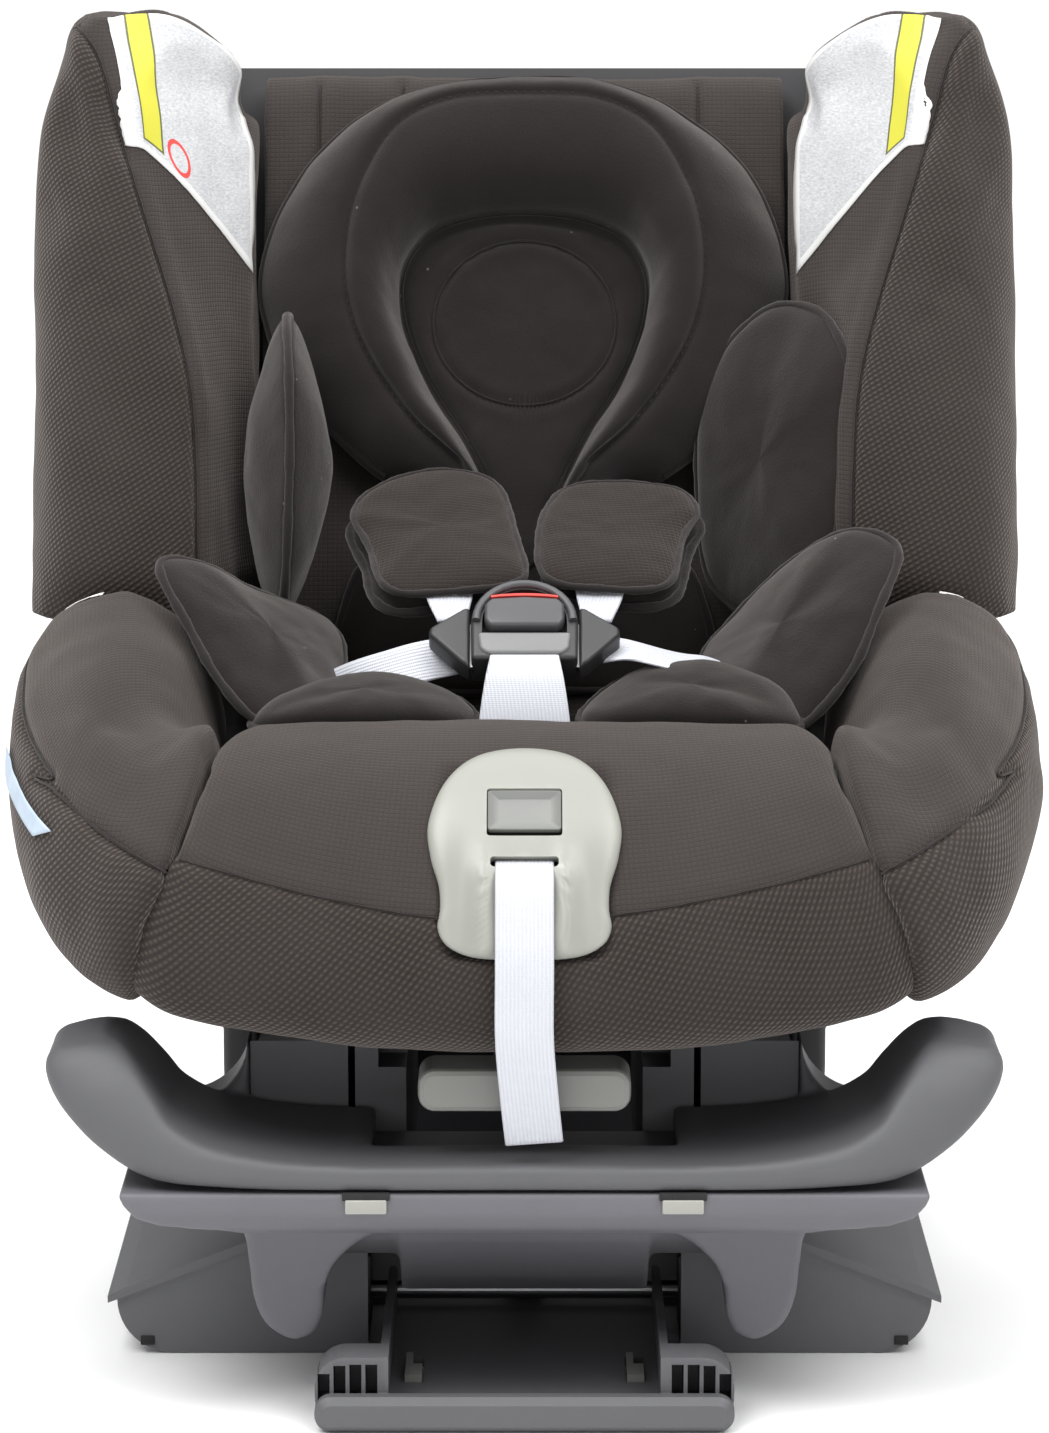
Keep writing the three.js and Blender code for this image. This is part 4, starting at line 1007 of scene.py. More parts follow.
def head_pad():
    """A horseshoe cushion round a low basin that runs down into a neck, all one cover."""
    rise = np.asarray(HEAD_RISE)[:, None]
    outer = head_ring(np.hstack([HEAD_OUTER, rise]))
    stitch = head_ring(np.hstack([HEAD_STITCH, rise]))
    basin = head_ring(np.hstack([HEAD_BASIN, rise]))
    centre = np.array([*HEAD_PAD_CENTRE, 1.0])
    levels = []
    for f in np.linspace(0.05, 0.94, 13):
        levels.append((basin * f + centre * (1 - f), HEAD_FLOOR + 2.5 * (1 - f * f), 0))
    levels.append((basin, HEAD_FLOOR - 3, 0))
    for t, tall in ((0.08, 7), (0.2, 18), (0.36, 27), (0.54, 31), (0.74, 31.5), (0.9, 29.5), (1.0, 27.5)):
        levels.append((basin + (stitch - basin) * t, HEAD_FLOOR, tall))
    for t, tall in ((0.12, 28), (0.28, 27), (0.45, 24), (0.62, 19.5), (0.78, 13), (0.9, 6), (0.98, -2)):
        levels.append((stitch + (outer - stitch) * t, HEAD_FLOOR, tall))
    levels.append((outer * [0.985, 0.985, 1] + [0, 1, 0], HEAD_FLOOR, -9))
    levels.append((outer * [0.9, 0.9, 1] + [0, 8, 0], HEAD_FLOOR, -11))
    rows = [np.array([on_back(p[0], p[1], base + tall * p[2]) for p in ring]) for ring, base, tall in levels]
    obj = skin("head_pad_cover", np.array(rows), INSERT)
    crumple(obj, 50, 1.8, seed=2.0)
    crumple(obj, 18, 0.5, seed=4.0)
    subdivide(obj)
    put(obj, "insert_fabric", "head_pad", fill=0.7)
    spots = [on_back(x, up, 30) for x, up in HEAD_BASIN[:-1]]
    spots = [mirror(p) for p in spots[:0:-1]] + spots
    crease = laid(obj, spots, 150)
    groove(obj, relaxed(crease, 4), 2.6, 1.6, 0.4)
    put(tube("head_basin_seam", relaxed(laid(obj, spots, 120), 4), 0.45, THREAD), "insert_fabric")
    line_spots = [on_back(x, up, 40) for x, up in HEAD_STITCH[:-2]]
    line_spots = [mirror(p) for p in line_spots[:0:-1]] + line_spots
    line = seam(obj, line_spots, width=1.6, depth=1.1, proud=0.5, count=150)
    line = relaxed(line, 3)
    threads = stitches("head_pad_stitches", line, line_normals(obj, line), THREAD, 4.4, 2.4, 0.42)
    put(threads, "insert_fabric")
    angles = np.linspace(0, 2 * math.pi, 28, endpoint=False)
    oval = [on_back(43 * math.sin(a), HEAD_PAD_CENTRE[1] + 40 * math.cos(a), 20) for a in angles]
    ring = seam(obj, oval, width=1.5, depth=1.6, proud=0.9, count=110, closed=True)
    put(tube("head_oval_seam", ring, 0.4, THREAD, closed=True), "insert_fabric", "head_cushion")
    rim = [on_back(x, up, 17) for x, up in HEAD_OUTER[:8]]
    rim = [mirror(p) for p in rim[:0:-1]] + rim
    edge_tree = surface(obj)
    piping = [np.array(edge_tree.find_nearest(Vector(p))[0]) for p in catmull(rim, 120)]
    put(tube("head_pad_piping", relaxed(np.array(piping), 3), 1.5, INSERT_EDGE), "insert_fabric")
    return obj


# ---------------------------------------------------------------- insert for a small child
UPPER_LEAF_RIGHT = [
    (129, 96, 436), (141, 78, 431), (149, 58, 413), (151, 44, 378), (143, 30, 336), (128, 26, 308),
    (106, 52, 293), (86, 84, 306), (81, 98, 345), (83, 106, 388), (96, 108, 418), (113, 106, 433),
]
UPPER_LEAF_LEFT = [
    (-109, 62, 433), (-107, 36, 416), (-106, 20, 380), (-107, 14, 340), (-109, 18, 308), (-112, 44, 292),
    (-112, 84, 300), (-110, 104, 340), (-108, 108, 390), (-108, 92, 426),
]
LOWER_LEAF_LEFT = [
    (-163, -28, 334), (-146, -16, 331), (-122, -3, 316), (-100, 6, 306), (-84, 2, 295), (-80, -40, 277),
    (-90, -82, 269), (-112, -86, 268), (-130, -78, 282), (-148, -56, 308), (-160, -40, 326),
]
LOWER_LEAF_RIGHT = [
    (165, -28, 342), (146, -13, 345), (118, 0, 327), (92, 4, 300), (80, -8, 287), (76, -46, 274),
    (90, -84, 267), (118, -86, 266), (142, -76, 290), (157, -56, 318), (166, -40, 334),
]
SEAT_LOBE_LEFT = [
    (-120, -86, 268), (-98, -100, 270), (-64, -104, 271), (-32, -100, 270), (-21, -88, 271), (-24, -70, 275),
    (-42, -58, 281), (-66, -56, 284), (-90, -60, 281), (-112, -72, 275),
]
SEAT_LOBE_RIGHT = [
    (23, -88, 271), (34, -100, 270), (62, -104, 271), (96, -102, 270), (122, -86, 268), (116, -68, 280),
    (98, -57, 287), (72, -53, 290), (46, -58, 286), (29, -70, 277),
]
INSERT_BACK = [
    (-84, 262, 0), (-84, 300, 0), (-70, 318, 0), (0, 322, 2), (70, 318, 0), (84, 300, 0), (84, 262, 0),
    (0, 256, 2),
]
CHEST_PAD_LEFT = [
    (-76, 40, 350), (-62, 56, 358), (-40, 64, 362), (-18, 60, 359), (-9, 46, 353), (-4, 12, 341),
    (1, -20, 328), (-3, -31, 323), (-28, -33, 320), (-54, -33, 318), (-65, -22, 323), (-70, 4, 333),
    (-78, 24, 344),
]
CHEST_PAD_RIGHT = [
    (7, 18, 344), (17, 48, 354), (38, 58, 357), (70, 54, 354), (79, 38, 347), (74, 22, 340), (70, 2, 332),
    (66, -20, 323), (55, -31, 320), (30, -33, 321), (12, -29, 323), (6, -14, 330),
]


def padded_leaf(name, outline, thick, material=INSERT, nodes=(), piping=2.2, seed=0.0, **more):
    """A padded leaf with a thick bound edge."""
    obj, edge = pillow(name, outline, thick, material, **more)
    crumple(obj, 34, 1.3, seed=seed)
    subdivide(obj)
    put(obj, "insert_fabric", *nodes, fill=0.55)
    tree = surface(obj)
    rim = np.array([np.array(tree.find_nearest(Vector(p))[0]) for p in edge])
    rim = np.concatenate([rim[-2:], rim, rim[:2]])
    rim = relaxed(rim, 3)[2:-2]
    put(binding(name + "_binding", rim, piping, INSERT_EDGE), "insert_fabric")


def binding(name, line, radius, material):
    """A soft round cord of changing thickness round a closed line, as a mesh."""
    tangent = np.roll(line, -1, 0) - np.roll(line, 1, 0)
    tangent /= np.linalg.norm(tangent, axis=1)[:, None]
    turns = np.linspace(0, 2 * math.pi, 10, endpoint=False)
    centre = line.mean(0)
    rows = []
    for i in range(len(line)):
        side = line[i] - centre
        side -= tangent[i] * (side @ tangent[i])
        side /= max(np.linalg.norm(side), 1e-6)
        up = np.cross(tangent[i], side)
        swell = radius * (1 + 0.10 * math.sin(i * 0.9) + 0.07 * math.sin(i * 2.3 + 1))
        rows.append(line[i] + swell * (np.outer(np.cos(turns), side) + np.outer(np.sin(turns), up)))
    return skin(name, np.array([*rows, rows[0]]), material, caps=False)


def insert_pads():
    """The small child's insert: four leaves, two lobes on the seat, a seat pad and a back pad."""
    for name, outline, extra in (
        ("insert_wing_upper_right", UPPER_LEAF_RIGHT, {"thick": 8, "sag": 3, "seed": 1.0}),
        ("insert_wing_upper_left", UPPER_LEAF_LEFT,
         {"thick": 21, "back": 1.0, "power": 1.6, "curve": 0.85, "facing": (1, -0.12, 0), "seed": 2.0}),
        ("insert_wing_lower_left", LOWER_LEAF_LEFT, {"thick": 8, "sag": 2, "seed": 3.0}),
        ("insert_wing_lower_right", LOWER_LEAF_RIGHT, {"thick": 8, "sag": 2, "seed": 4.0}),
    ):
        padded_leaf(name + "_pad", outline, nodes=[name], **extra)
    for name, outline in (("left", SEAT_LOBE_LEFT), ("right", SEAT_LOBE_RIGHT)):
        padded_leaf("insert_seat_lobe_" + name, outline, 13, facing=(0, -0.55, 0.83), sag=1, seed=6.0)
    rows = []
    line = catmull([(78, 236), (40, 221), (0, 220), (-40, 228), (-70, 240), (-88, 250)], 40)
    for x in np.linspace(-98, 98, 40):
        lift = 3 * (abs(x) / 98) ** 3
        ring = band_profile(line, 2 + lift, 13 - 6 * (abs(x) / 98) ** 4)
        rows.append(np.column_stack([np.full(len(ring), x), ring]))
    seat = skin("insert_seat_pad_cover", np.array(rows), INSERT, caps="band")
    crumple(seat, 40, 1.4, seed=8.0)
    subdivide(seat)
    put(seat, "insert_fabric", "insert_seat_pad", fill=0.5)
    back = [(x, back_y(z) - 7 - bow, z) for x, z, bow in INSERT_BACK]
    padded_leaf("insert_back_pad_cover", back, 6, nodes=["insert_back_pad"], facing=BACK_OUT, seed=9.0)


def chest_pads():
    """The two pads over the shoulder straps, each with a lining below it."""
    for side, sign, outline in (("left", -1, CHEST_PAD_LEFT), ("right", 1, CHEST_PAD_RIGHT)):
        points = np.array(outline, float)
        padded_leaf("chest_pad_cover_" + side, points, 5.5, PAD_CLOTH, ["chest_pad_" + side], 1.8, sign)
        under = points + [2.5 * sign, 6, -9]
        padded_leaf("chest_pad_lining_" + side, under, 4.5, seed=sign * 2.0)


# ---------------------------------------------------------------- webbing
WEBBING_THICK = 1.5


def ribbon(name, points, widths, across):
    """Flat webbing along points. across holds the direction of its width at each point."""
    data = catmull(np.hstack([points, np.reshape(widths, (-1, 1)), across]), 70)
    line, width, side = data[:, :3], data[:, 3], data[:, 4:]
    tangent = np.gradient(line, axis=0)
    tangent /= np.linalg.norm(tangent, axis=1)[:, None]
    rows = []
    spots = np.array([-0.5, -0.49, -0.46, -0.3, -0.1, 0.1, 0.3, 0.46, 0.49, 0.5])
    high = np.array([0.0, 0.35, 0.5, 0.5, 0.5, 0.5, 0.5, 0.5, 0.35, 0.0])
    for i in range(len(line)):
        s = side[i] - tangent[i] * (side[i] @ tangent[i])
        s /= np.linalg.norm(s)
        up = np.cross(tangent[i], s)
        top = line[i] + np.outer(spots * width[i], s) + np.outer(high * WEBBING_THICK, up)
        low = line[i] + np.outer(spots[-2:0:-1] * width[i], s) - np.outer(high[-2:0:-1] * WEBBING_THICK, up)
        rows.append(np.concatenate([top, low]))
    return skin(name, np.array(rows), WEBBING)


X = (1.0, 0.0, 0.0)
WEBBING_WIDTH = 24.0
SHOULDER_PATH = [
    (14, 137.5, 306), (22, 147, 330), (34, 140, 348), (34, 112, 349), (34, 84, 351), (34, 50, 349),
    (34, 10, 336), (33.5, -26, 320), (32, -46, 309),
]
LAP_PATH_LEFT = [
    (-30, -54, 295), (-44, -58, 293), (-60, -58, 288), (-78, -50, 280), (-96, -30, 268), (-112, 0, 256),
    (-124, 38, 244),
]
LAP_PATH_RIGHT = [
    (30, -54, 297), (46, -60, 298), (64, -62, 294), (82, -56, 288), (100, -34, 272), (114, 0, 256),
    (124, 38, 244),
]
CROTCH_PATH = [(0, -93, 214), (0, -96, 250), (0, -94, 270), (0, -87, 288), (0, -78.5, 299)]
LAP_WIDTHS = [18, 20, 22, 23] + [WEBBING_WIDTH] * 3
LAP_ACROSS_LEFT = [(0, 0.60, 0.80)] * 3 + [(0, 0.5, 0.87)] * 2 + [(0.1, 0.8, 0.6), (0.2, 1, 0.1)]
LAP_ACROSS_RIGHT = [
    (0, 0.85, 0.5), (0, 0.97, 0.25), (0, 0.98, 0.2), (0, 0.97, 0.25), (0, 0.8, 0.6), (-0.1, 0.8, 0.6),
    (-0.2, 1, 0.1),
]
ADJUSTER_PATH = [
    (0, -221, 238), (0, -231, 237.5), (0, -240, 231), (0, -246, 214), (0, -249, 196), (0, -247, 168),
    (2, -240, 142), (4, -231, 121),
]


def length_of(points):
    """The length of a strap along its middle, in metres."""
    return np.linalg.norm(np.diff(catmull(points, 200), axis=0), axis=1).sum() * MM


def strap(name, node, points, widths, across, bend=None):
    """A strap in place of its CAD node, put on the seat unless bend is given. bend names a tongue and where
    an end would follow it, from where to where; no end is made to follow it.
    """
    obj = ribbon(name, points, widths, across)
    if bend is None:
        put(obj, "webbing", node)
    else:
        tongue, start, end = bend
        tuple(np.array(start) * MM)
        tuple(np.array(end) * MM)
        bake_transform(obj)
        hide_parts(node)
    flat = (float(np.mean(widths)) * MM, float(length_of(points)))
    return obj


def harness():
    """The two shoulder straps, two lap straps, the crotch strap and the adjuster's hanging tail."""
    for side, sign in SIDES:
        path = np.array(SHOULDER_PATH, float) * [sign, 1, 1]
        widths = [WEBBING_WIDTH] * 7 + [22, 13]
        strap("shoulder_webbing_" + side, "shoulder_strap_" + side, path, widths, [X] * 9,
              bend=("tongue_" + side, (34 * sign, 20, 339), (32 * sign, -42, 311)))
    strap("lap_webbing_left", "lap_strap_left", LAP_PATH_LEFT, LAP_WIDTHS, LAP_ACROSS_LEFT,
          bend=("tongue_left", (-96, -48, 280), (-48, -58, 292)))
    strap("lap_webbing_right", "lap_strap_right", LAP_PATH_RIGHT, LAP_WIDTHS, LAP_ACROSS_RIGHT,
          bend=("tongue_right", (98, -48, 280), (48, -60, 297)))
    strap("crotch_webbing", "crotch_strap", CROTCH_PATH, [42, 42, 40, 35, 30], [X] * 5)
    strap("adjuster_webbing", "adjuster_strap", ADJUSTER_PATH, [WEBBING_WIDTH] * 8, [X] * 8)


# ---------------------------------------------------------------- labels and tags
PATCH_THICK = 0.4
PATCH_RAY = 60


def patch(obj, name, low, high, material, lift=0.5, across=24, up=24, toward=None):
    """A thin piece laid on a surface between two edges. It carries where it is: across and up, 0 to 1."""
    tree = surface(obj)
    bottom, top = catmull(low, across), catmull(high, across)
    rows = []
    for t in np.linspace(0, 1, up):
        row = []
        for point in bottom * (1 - t) + top * t:
            hit = None
            if toward is not None:
                hit, normal, _, _ = tree.ray_cast(Vector(point - PATCH_RAY * toward), Vector(toward))
            if hit is None:
                hit, normal, _, _ = tree.find_nearest(Vector(point))
            row.append(np.array(hit + normal * lift))
        rows.append(row)
    piece = skin(name, np.array(rows), material, closed=False)
    paint(piece, "across", np.tile(np.linspace(0, 1, across), up))
    paint(piece, "up", np.repeat(np.linspace(0, 1, up), across))
    solid = piece.modifiers.new("Thickness", "SOLIDIFY")
    solid.thickness = PATCH_THICK * MM
    solid.offset = 0
    apply_modifiers(piece)
    return piece


CORNER_TAG_LEFT_LOW = [(-220, -4, 308), (-207, -14, 315), (-189, -20, 319)]
CORNER_TAG_LEFT_HIGH = [(-219, 0, 312), (-207, -9, 319), (-189, -14, 322)]
CORNER_TAG_RIGHT_LOW = [(186, -20, 319), (191, -18, 319), (197, -15, 317)]
CORNER_TAG_RIGHT_HIGH = [(186, -16, 322), (191, -14, 321), (197, -11, 319)]
LABEL_LOW = [(184, 92, 508), (168, 92, 505), (152, 97, 491), (138, 110, 468), (130, 125, 446)]
LABEL_HIGH = [(193, 121, 567), (180, 128, 569.5), (164, 138, 569.5), (148, 150, 562), (130, 166, 540)]


def labels_and_tags(wings, bolsters):
    """The label on each wing, and three small tags on the bolsters."""
    for side, sign in SIDES:
        low, high = (np.array(edge, float) * [sign, 1, 1] for edge in (LABEL_LOW, LABEL_HIGH))
        look = LABEL_LEFT if sign < 0 else LABEL_RIGHT
        put(patch(wings[side], "wing_label_" + side, low, high, look, up=40, across=40), "cover_fabric")
    put(patch(bolsters["left"], "bolster_tag", [(-223, -72, 254), (-207, -112, 247), (-188, -150, 237)],
              [(-213, -86, 262), (-199, -124, 252), (-180, -160, 241)], TAG_BLUE, lift=1.6, up=6,
              toward=np.array([0.65, 0.76, 0])), "cover_fabric")
    for side, low, high in (("left", CORNER_TAG_LEFT_LOW, CORNER_TAG_LEFT_HIGH),
                            ("right", CORNER_TAG_RIGHT_LOW, CORNER_TAG_RIGHT_HIGH)):
        tag = patch(bolsters[side], "bolster_corner_tag_" + side, low, high, TAG_WHITE, lift=1.0, up=4)
        put(tag, "cover_fabric")


# ---------------------------------------------------------------- moulded pieces
def slab(name, outline, low, high, place, material, bevel=1.0, segments=3):
    """A flat outline (u, v) given thickness from low to high along w. place turns (u, v, w) into a point."""
    outline = np.asarray(outline, float)
    count = len(outline)
    points = [place(u, v, w) for w in (low, high) for u, v in outline]
    faces = [tuple(range(count))[::-1], tuple(range(count, 2 * count))]
    faces += [(i, (i + 1) % count, count + (i + 1) % count, count + i) for i in range(count)]
    obj = make_mesh(name, points, faces, material)
    face_outward(obj)
    if bevel:
        rounding = obj.modifiers.new("Edges", "BEVEL")
        rounding.width = bevel * MM
        rounding.segments = segments
        rounding.limit_method = "ANGLE"
        rounding.angle_limit = math.radians(35)
        apply_modifiers(obj)
    obj.data.shade_smooth()
    obj.data.set_sharp_from_angle(angle=math.radians(38))
    return obj


def from_front(u, v, w):
    """Places an outline that is drawn as seen from the front."""
    return (u, w, v)


def from_side(u, v, w):
    """Places an outline that is drawn as seen from the side."""
    return (w, u, v)


def block(name, x0, x1, y0, y1, z0, z1, material, bevel=0.8):
    """A box with rounded edges."""
    outline = [(x0, z0), (x1, z0), (x1, z1), (x0, z1)]
    return slab(name, outline, y0, y1, from_front, material, bevel)


def cut_with(obj, *cutters):
    """Takes the cutters' shapes out of a piece, and removes them."""
    for cutter in cutters:
        modifier = obj.modifiers.new("Cut", "BOOLEAN")
        modifier.operation = "DIFFERENCE"
        modifier.solver = "EXACT"
        modifier.object = cutter
    apply_modifiers(obj)
    for cutter in cutters:
        bpy.data.objects.remove(cutter)
    return obj


def moulded(name, pieces, voxel, rounds):
    """Melts overlapping solids into one moulding with rounded corners and filleted joins."""
    target = pieces[0]
    with bpy.context.temp_override(active_object=target, selected_editable_objects=pieces, object=target):
        bpy.ops.object.join()
    target.name = name
    melt = target.modifiers.new("Melt", "REMESH")
    melt.mode = "VOXEL"
    melt.voxel_size = voxel * MM
    melt.use_smooth_shade = True
    soften = target.modifiers.new("Soften", "SMOOTH")
    soften.factor = 0.5
    soften.iterations = rounds
    apply_modifiers(target)
    return target


def rounded(width, height, radius, steps=5):
    """The corners of a rounded rectangle about (0, 0)."""
    points = []
    for cx, cy, start in ((1, 1, 0), (-1, 1, 90), (-1, -1, 180), (1, -1, 270)):
        for k in range(steps + 1):
            a = math.radians(start + 90 * k / steps)
            points.append((cx * (width / 2 - radius) + radius * math.cos(a),
                           cy * (height / 2 - radius) + radius * math.sin(a)))
    return points


# ---------------------------------------------------------------- harness adjuster
TRIM_BASE = catmull([(-243, 190), (-241.5, 202), (-237, 216), (-228.5, 234), (-216.5, 251), (-202.5, 265),
                     (-188, 275), (-176, 281)], 120)
TRIM_OUTLINE = [
    (0, 277), (20, 274.5), (33, 266), (39.5, 252), (38.5, 240), (35, 229), (34.5, 220), (35.5, 213),
    (32, 206.5), (23, 202), (11, 200.5), (0, 200.3),
]


def on_trim(x, z, out):
    """A point by its height and its distance out from the nose of the seat."""
    before, y, after = np.interp([z - 1, z, z + 1], TRIM_BASE[:, 1], TRIM_BASE[:, 0])
    slope = (after - before) / 2
    normal = np.array([0, -1, slope]) / math.hypot(1, slope)
    return np.array([x, y, z]) + normal * out


def trim_height(x, z, f):
    """A dished plate: a raised middle about the strap, valleys beside it, and a soft rim."""
    rim = (1 - f**9) ** 0.5
    lower = 1 / (1 + math.exp((z - 236) / 4.5))
    ridge = 2.6 * math.exp(-((abs(x) - 17.5) / 4.5) ** 2) * lower
    middle = 1.2 * lower if abs(x) < 17.5 else 0.0
    valley = -1.6 * math.exp(-((abs(x) - 27) / 4.5) ** 2) * lower
    return 4.4 * rim + (ridge + middle + valley) * rim


def trim_place(height, squash=0.72):
    """A way to place outlines drawn flat: laid on the trim plate about a height."""
    return lambda u, v, w: on_trim(u, height + v * squash, w)


def harness_adjuster():
    """The pale plate on the nose, with its window, well, button and strap slot."""
    half = np.array(TRIM_OUTLINE, float)
    edge = catmull(np.concatenate([half, (half * [-1, 1])[-2:0:-1]]), 128, closed=True)
    centre = np.array([0, 242.0])
    rows = []
    for f in (0.03, *np.linspace(0.1, 0.9, 17), 0.94, 0.97, 0.99, 1.0):
        ring = centre + (edge - centre) * f
        rows.append([on_trim(x, z, trim_height(x, z, f)) for x, z in ring])
    for f, out in ((1.0, -1.0), (0.5, -1.0), (0.03, -1.0)):
        rows.append([on_trim(x, z, out) for x, z in centre + (edge - centre) * f])
    plate = skin("adjuster_trim_plate", np.array(rows), TRIM)
    window = slab("window", rounded(31, 22.5, 1.4), -14, 14, trim_place(254), TRIM, 0)
    slot = slab("slot", rounded(28.0, 4.4, 1.6), -14, 14, trim_place(236.6, 0.85), TRIM, 0)
    cut_with(plate, window, slot)
    plate.data.set_sharp_from_angle(angle=math.radians(42))
    put(plate, "trim_plastic", "adjuster_trim")
    well = slab("adjuster_well", rounded(33, 25, 1.0), -5.2, -3.6, trim_place(253.6), DARK, 0)
    put(well, "dark_plastic")
    rings = [(30.2, 18.6, 3.4), (29.4, 17.8, 3.7), (28.6, 17.0, 3.2), (21.5, 11.5, 1.0), (20.5, 10.5, 0.9)]
    grid = [[on_trim(u, 255.2 + v * 0.72 + (0.6 if i > 2 else 0), w) for u, v in rounded(a, b, 1.2)]
            for i, (a, b, w) in enumerate(rings)]
    grid.insert(0, [on_trim(u, 255.2 + v * 0.72, 0.6) for u, v in rounded(30.2, 18.6, 1.2)])
    button = skin("adjuster_button_cap", np.array(grid), BUTTON_GREY)
    button.data.set_sharp_from_angle(angle=math.radians(20))
    put(button, "trim_plastic", "adjuster_button", body="adjuster_press_button")


# ---------------------------------------------------------------- buckle
BUCKLE_AT = np.array([0.0, -62.0, 302.0])
BUCKLE_TILT = math.radians(50)
ARCH_CENTRE = 5.5
BUCKLE_UP = np.array([0, math.sin(BUCKLE_TILT), math.cos(BUCKLE_TILT)])
BUCKLE_OUT = np.array([0, -math.cos(BUCKLE_TILT), math.sin(BUCKLE_TILT)])


def on_buckle(u, v, w):
    """A point by its place on the buckle: across, up along it, and out from it."""
    return BUCKLE_AT + np.array([u, 0, 0]) + BUCKLE_UP * v + BUCKLE_OUT * w


def arch(radius, bottom, foot):
    """An arch standing on a straight foot."""
    top = [(radius * math.cos(a), ARCH_CENTRE + radius * math.sin(a)) for a in np.linspace(0, math.pi, 18)]
    return [(foot, bottom), *top, (-foot, bottom)]


def buckle():
    """The buckle's shell, red line, button and lip, and its two tongues, each a wing with a steel blade."""
    shell = slab("buckle_shell", arch(23.5, -15.5, 23.2), -9, 8, on_buckle, BUCKLE, 2.2, 4)
    cut_with(shell, slab("cut", arch(18.6, -3, 18.6), 1.8, 20, on_buckle, BUCKLE, 0))
    shell.data.set_sharp_from_angle(angle=math.radians(40))
    put(shell, "dark_plastic", "buckle_body")
    rim = [on_buckle(u, v, 8.4) for u, v in arch(21.2, -2, 21.2)[1:-1]]
    put(tube("buckle_arch_rim", np.array(rim), 1.9, BUCKLE_EDGE, sides=5), "dark_plastic")
    spots = np.linspace(-14.8, 14.8, 9)
    line = [(x, 18.3 - (x / 15) ** 2) for x in spots]
    line += [(x, 19.9 - (x / 15) ** 2 * 1.3) for x in spots[::-1]]
    put(slab("buckle_red_line", line, 1.6, 10.4, on_buckle, RED, 0.4, 2), "dark_plastic")
    cap_outline = [
        (-17.4, 12.6), (-15, 16.2), (0, 17.2), (15, 16.2), (17.4, 12.6), (17.6, 3.5), (15, 0), (-15, 0),
        (-17.6, 3.5),
    ]
    button = slab("buckle_button_cap", cap_outline, 5.4, 12, on_buckle, BUCKLE_EDGE, 2.0, 4)
    put(button, "dark_plastic", "buckle_button", body="buckle_press_button")
    lip_outline = [(-20.5, -1.6), (20.5, -1.6), (19.5, -11), (16, -14), (-16, -14), (-19.5, -11)]
    put(slab("buckle_lip", lip_outline, 2, 9.6, on_buckle, BUCKLE_LIP, 1.8, 4), "dark_plastic")
    for side, sign in SIDES:
        wing = [(24, 16.5), (27, 15.5), (41.6, 4.5), (42, 0.5), (28, -15), (24, -18)]
        wing = [(sign * u, v) for u, v in wing]
        body = "tongue_" + side
        piece = slab("buckle_tongue_wing_" + side, wing, -6, 5.6, on_buckle, BUCKLE, 2.0, 4)
        put(piece, "dark_plastic", "buckle_tongue_" + side, body=body)
        blade = [(sign * 12.2, 8), (sign * 26, 10), (sign * 26, -16), (sign * 12.2, -12)]
        blade = slab("buckle_tongue_blade_" + side, blade, -1.2, 1.2, on_buckle, STEEL, 0.4, 2)
        put(blade, "steel", body=body)


# ---------------------------------------------------------------- base mouldings
MOULD_VOXEL = 1.7
HORN_STATIONS = [  # x, z, lean in degrees, thickness, front y, rear y
    (0, 107, 0, 11, -238, -133.4), (80, 107, 0, 11, -238, -133.4), (124, 110, 5, 16, -238, -133.4),
    (149, 116, 26, 24, -236, -133.6), (164, 127, 48, 31, -231, -136), (175, 139, 62, 35, -225, -142),
    (181, 147.5, 70, 35, -219, -149), (184, 153, 75, 31, -214, -154), (185.5, 156.5, 78, 22, -208, -160),
]


def horn_ring(x, z, lean, thick, front, rear):
    """The deck's section, leaning by an angle, with rounded ends and slightly dished faces."""
    a = math.radians(lean)
    across = np.array([-math.sin(a), 0, math.cos(a)])
    h = thick / 2
    r = min(h, 8.0)
    depth = rear - front
    section = [
        (-h, r), (-h * 0.72, r * 0.28), (0, 0), (h * 0.72, r * 0.28), (h, r), (h - 0.8, depth * 0.3),
        (h - 1.2, depth * 0.5), (h - 0.8, depth * 0.7), (h, depth - r), (h * 0.72, depth - r * 0.28),
        (0, depth), (-h * 0.72, depth - r * 0.28), (-h, depth - r), (-h, depth * 0.7), (-h, depth * 0.5),
        (-h, depth * 0.3),
    ]
    return [np.array([x, front + y, z]) + across * t for t, y in section]


def belt_deck():
    """The deck with a belt horn at each end, a well in the middle, and a flare under each horn."""
    right = np.array([horn_ring(*station) for station in HORN_STATIONS])
    left = right[:0:-1] * [-1, 1, 1]
    bow = skin("bow", loft(np.concatenate([left, right]), 170, 80), GREY)
    cut_with(bow, block("well", -64, 64, -196, -118, 60, 130, GREY, 0))
    pieces = [bow, block("wall", -78, 78, -199.5, -195, 93, 108, GREY, 0)]
    for sign in (-1, 1):
        curve = [(150 - 31 * math.sin(t), 142 - 30 * math.cos(t)) for t in np.linspace(0.0, math.pi / 2, 9)]
        outline = [(118.4, 100), (150, 100), *curve, (118.4, 142)]
        outline = [(sign * u, v) for u, v in outline]
        pieces.append(slab("flare", outline, -139, -104, from_front, GREY, 0))
    obj = moulded("belt_deck_moulding", pieces, MOULD_VOXEL, 5)
    put(obj, "base_plastic", "belt_deck", body="base")


BEAM_PROFILE = [(-237, 100.7), (-237.6, 92), (-234, 85), (-226, 81), (-204, 78), (-133, 56), (-133, 100.7)]
BEAM_APRON = [  # clear of the folded foot
    (-206, 80), (-196, 69), (-160, 43), (-140, 31.5), (-134, 30.5), (-134, 60),
]
BEAM_APRON_SIDE = [(-206, 80), (-190, 68), (-165, 55), (-134, 46), (-134, 60)]


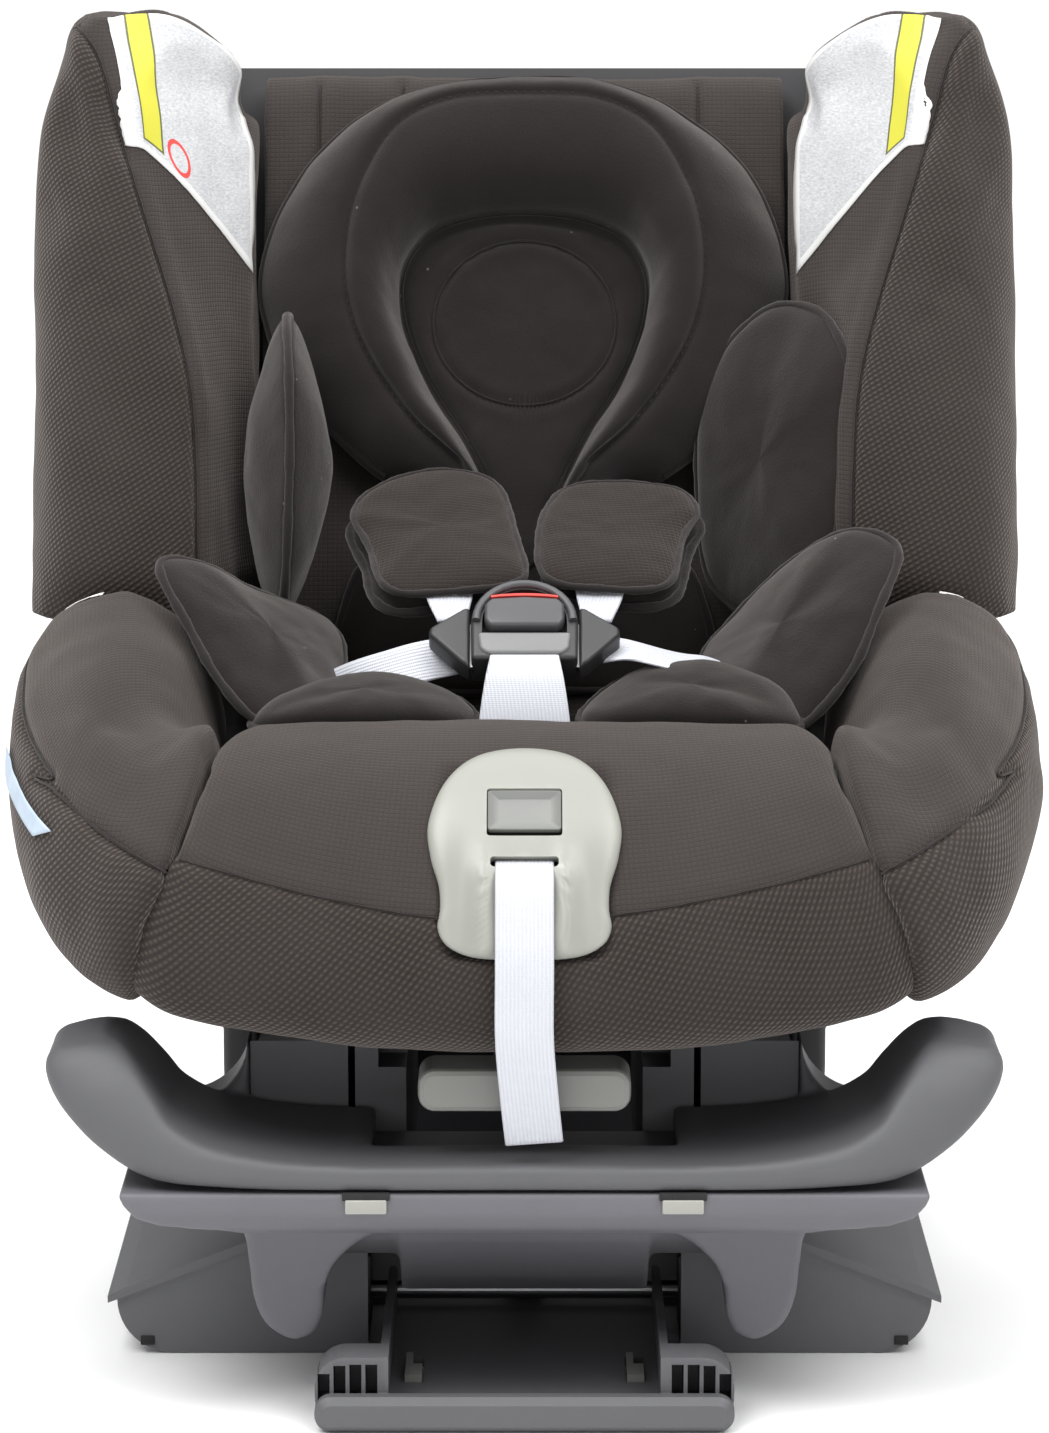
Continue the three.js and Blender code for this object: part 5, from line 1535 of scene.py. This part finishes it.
BEAM_CORNER = [
    (182, 104), (168.5, 104), (166, 96), (160, 89.5), (150, 86), (126, 83.4), (116, 80), (116, 40),
    (182, 40),
]
BEAM_LOBE = [
    (128, 86), (118, 74), (115.5, 60), (114, 46), (109, 34), (99, 27.2), (90, 29), (85, 37), (84, 49),
    (80, 60), (71, 69), (60, 75), (50, 80), (50, 86),
]


def front_beam():
    """The beam across the front, with its curved ends, aprons, hanging lobes and deck catches."""
    span = 168
    body = slab("beam", BEAM_PROFILE, -span, span, from_side, BEAM_GREY, 0)
    cutters = []
    for sign in (-1, 1):
        below = [(sign * u, v) for u, v in BEAM_CORNER]
        cutters.append(slab("cut", below, -250, -120, from_front, GREY, 0))
    cut_with(body, *cutters)
    pieces = [body]
    for outline, half in ((BEAM_APRON, 53), (BEAM_APRON_SIDE, 86)):
        pieces.append(slab("apron", outline, -half, half, from_side, BEAM_GREY, 0))
    for sign in (-1, 1):
        lobe = catmull([(sign * u, v) for u, v in BEAM_LOBE], 60)
        pieces.append(slab("lobe", lobe, -203, -160, lambda u, v, w: (u, w + (90 - v) * 0.06, v), GREY, 0))
    obj = moulded("front_beam_moulding", pieces, MOULD_VOXEL, 6)
    obj.data.materials.clear()
    obj.data.materials.append(BEAM_GREY)
    put(obj, "base_plastic", "front_beam", body="base")
    for side, sign in SIDES:
        x0, x1 = sorted((sign * 55.5, sign * 75))
        # painted shade: a black block stands for the dark gap in the catch's window above its tab
        slot = block("deck_catch_slot_painted_shade_" + side, x0, x1, -238.2, -234, 98.2, 101.3, RUBBER, 0.3)
        put(slot, "rubber", body="base")
        tab = block("deck_catch_tab_" + side, x0 + 1.2, x1 - 1.2, -238.8, -234, 92.6, 98.6, CATCH, 0.7)
        put(tab, "base_plastic", body="base")


def base_details():
    """Dark moulded arms beside the nose, and black blocks on the pan that paint the shade of its two small
    holes.
    """
    for side, sign in SIDES:
        outline = [(-10, 91), (-4, 85.5), (50, 85.5), (60, 90), (64, 100), (64, 150), (-12, 150), (-12, 98)]
        x0, x1 = sorted((sign * 120.5, sign * 137))
        arm = slab("shell_arm_" + side, outline, x0, x1, from_side, DARK, 3.5, 4)
        put(arm, "dark_plastic")
        x0, x1 = sorted((sign * 161, sign * 167))
        # painted shade: a small black block stands for the dark inside of a hole in the pan's front
        put(block("pan_hole_painted_shade_" + side, x0, x1, -131.2, -128, 3.6, 7.6, RUBBER, 0.5), "rubber", body="base")


bpy.context.scene.view_settings.view_transform = "Standard"
make_camera()
make_stage()
dress_cad()
seat_cushion()
back_panel()
bolsters = {side: thigh_bolster(side, sign) for side, sign in SIDES}
wings = {side: back_wing(side, sign) for side, sign in SIDES}
head_pad()
insert_pads()
chest_pads()
harness()
labels_and_tags(wings, bolsters)
harness_adjuster()
buckle()
belt_deck()
front_beam()
base_details()
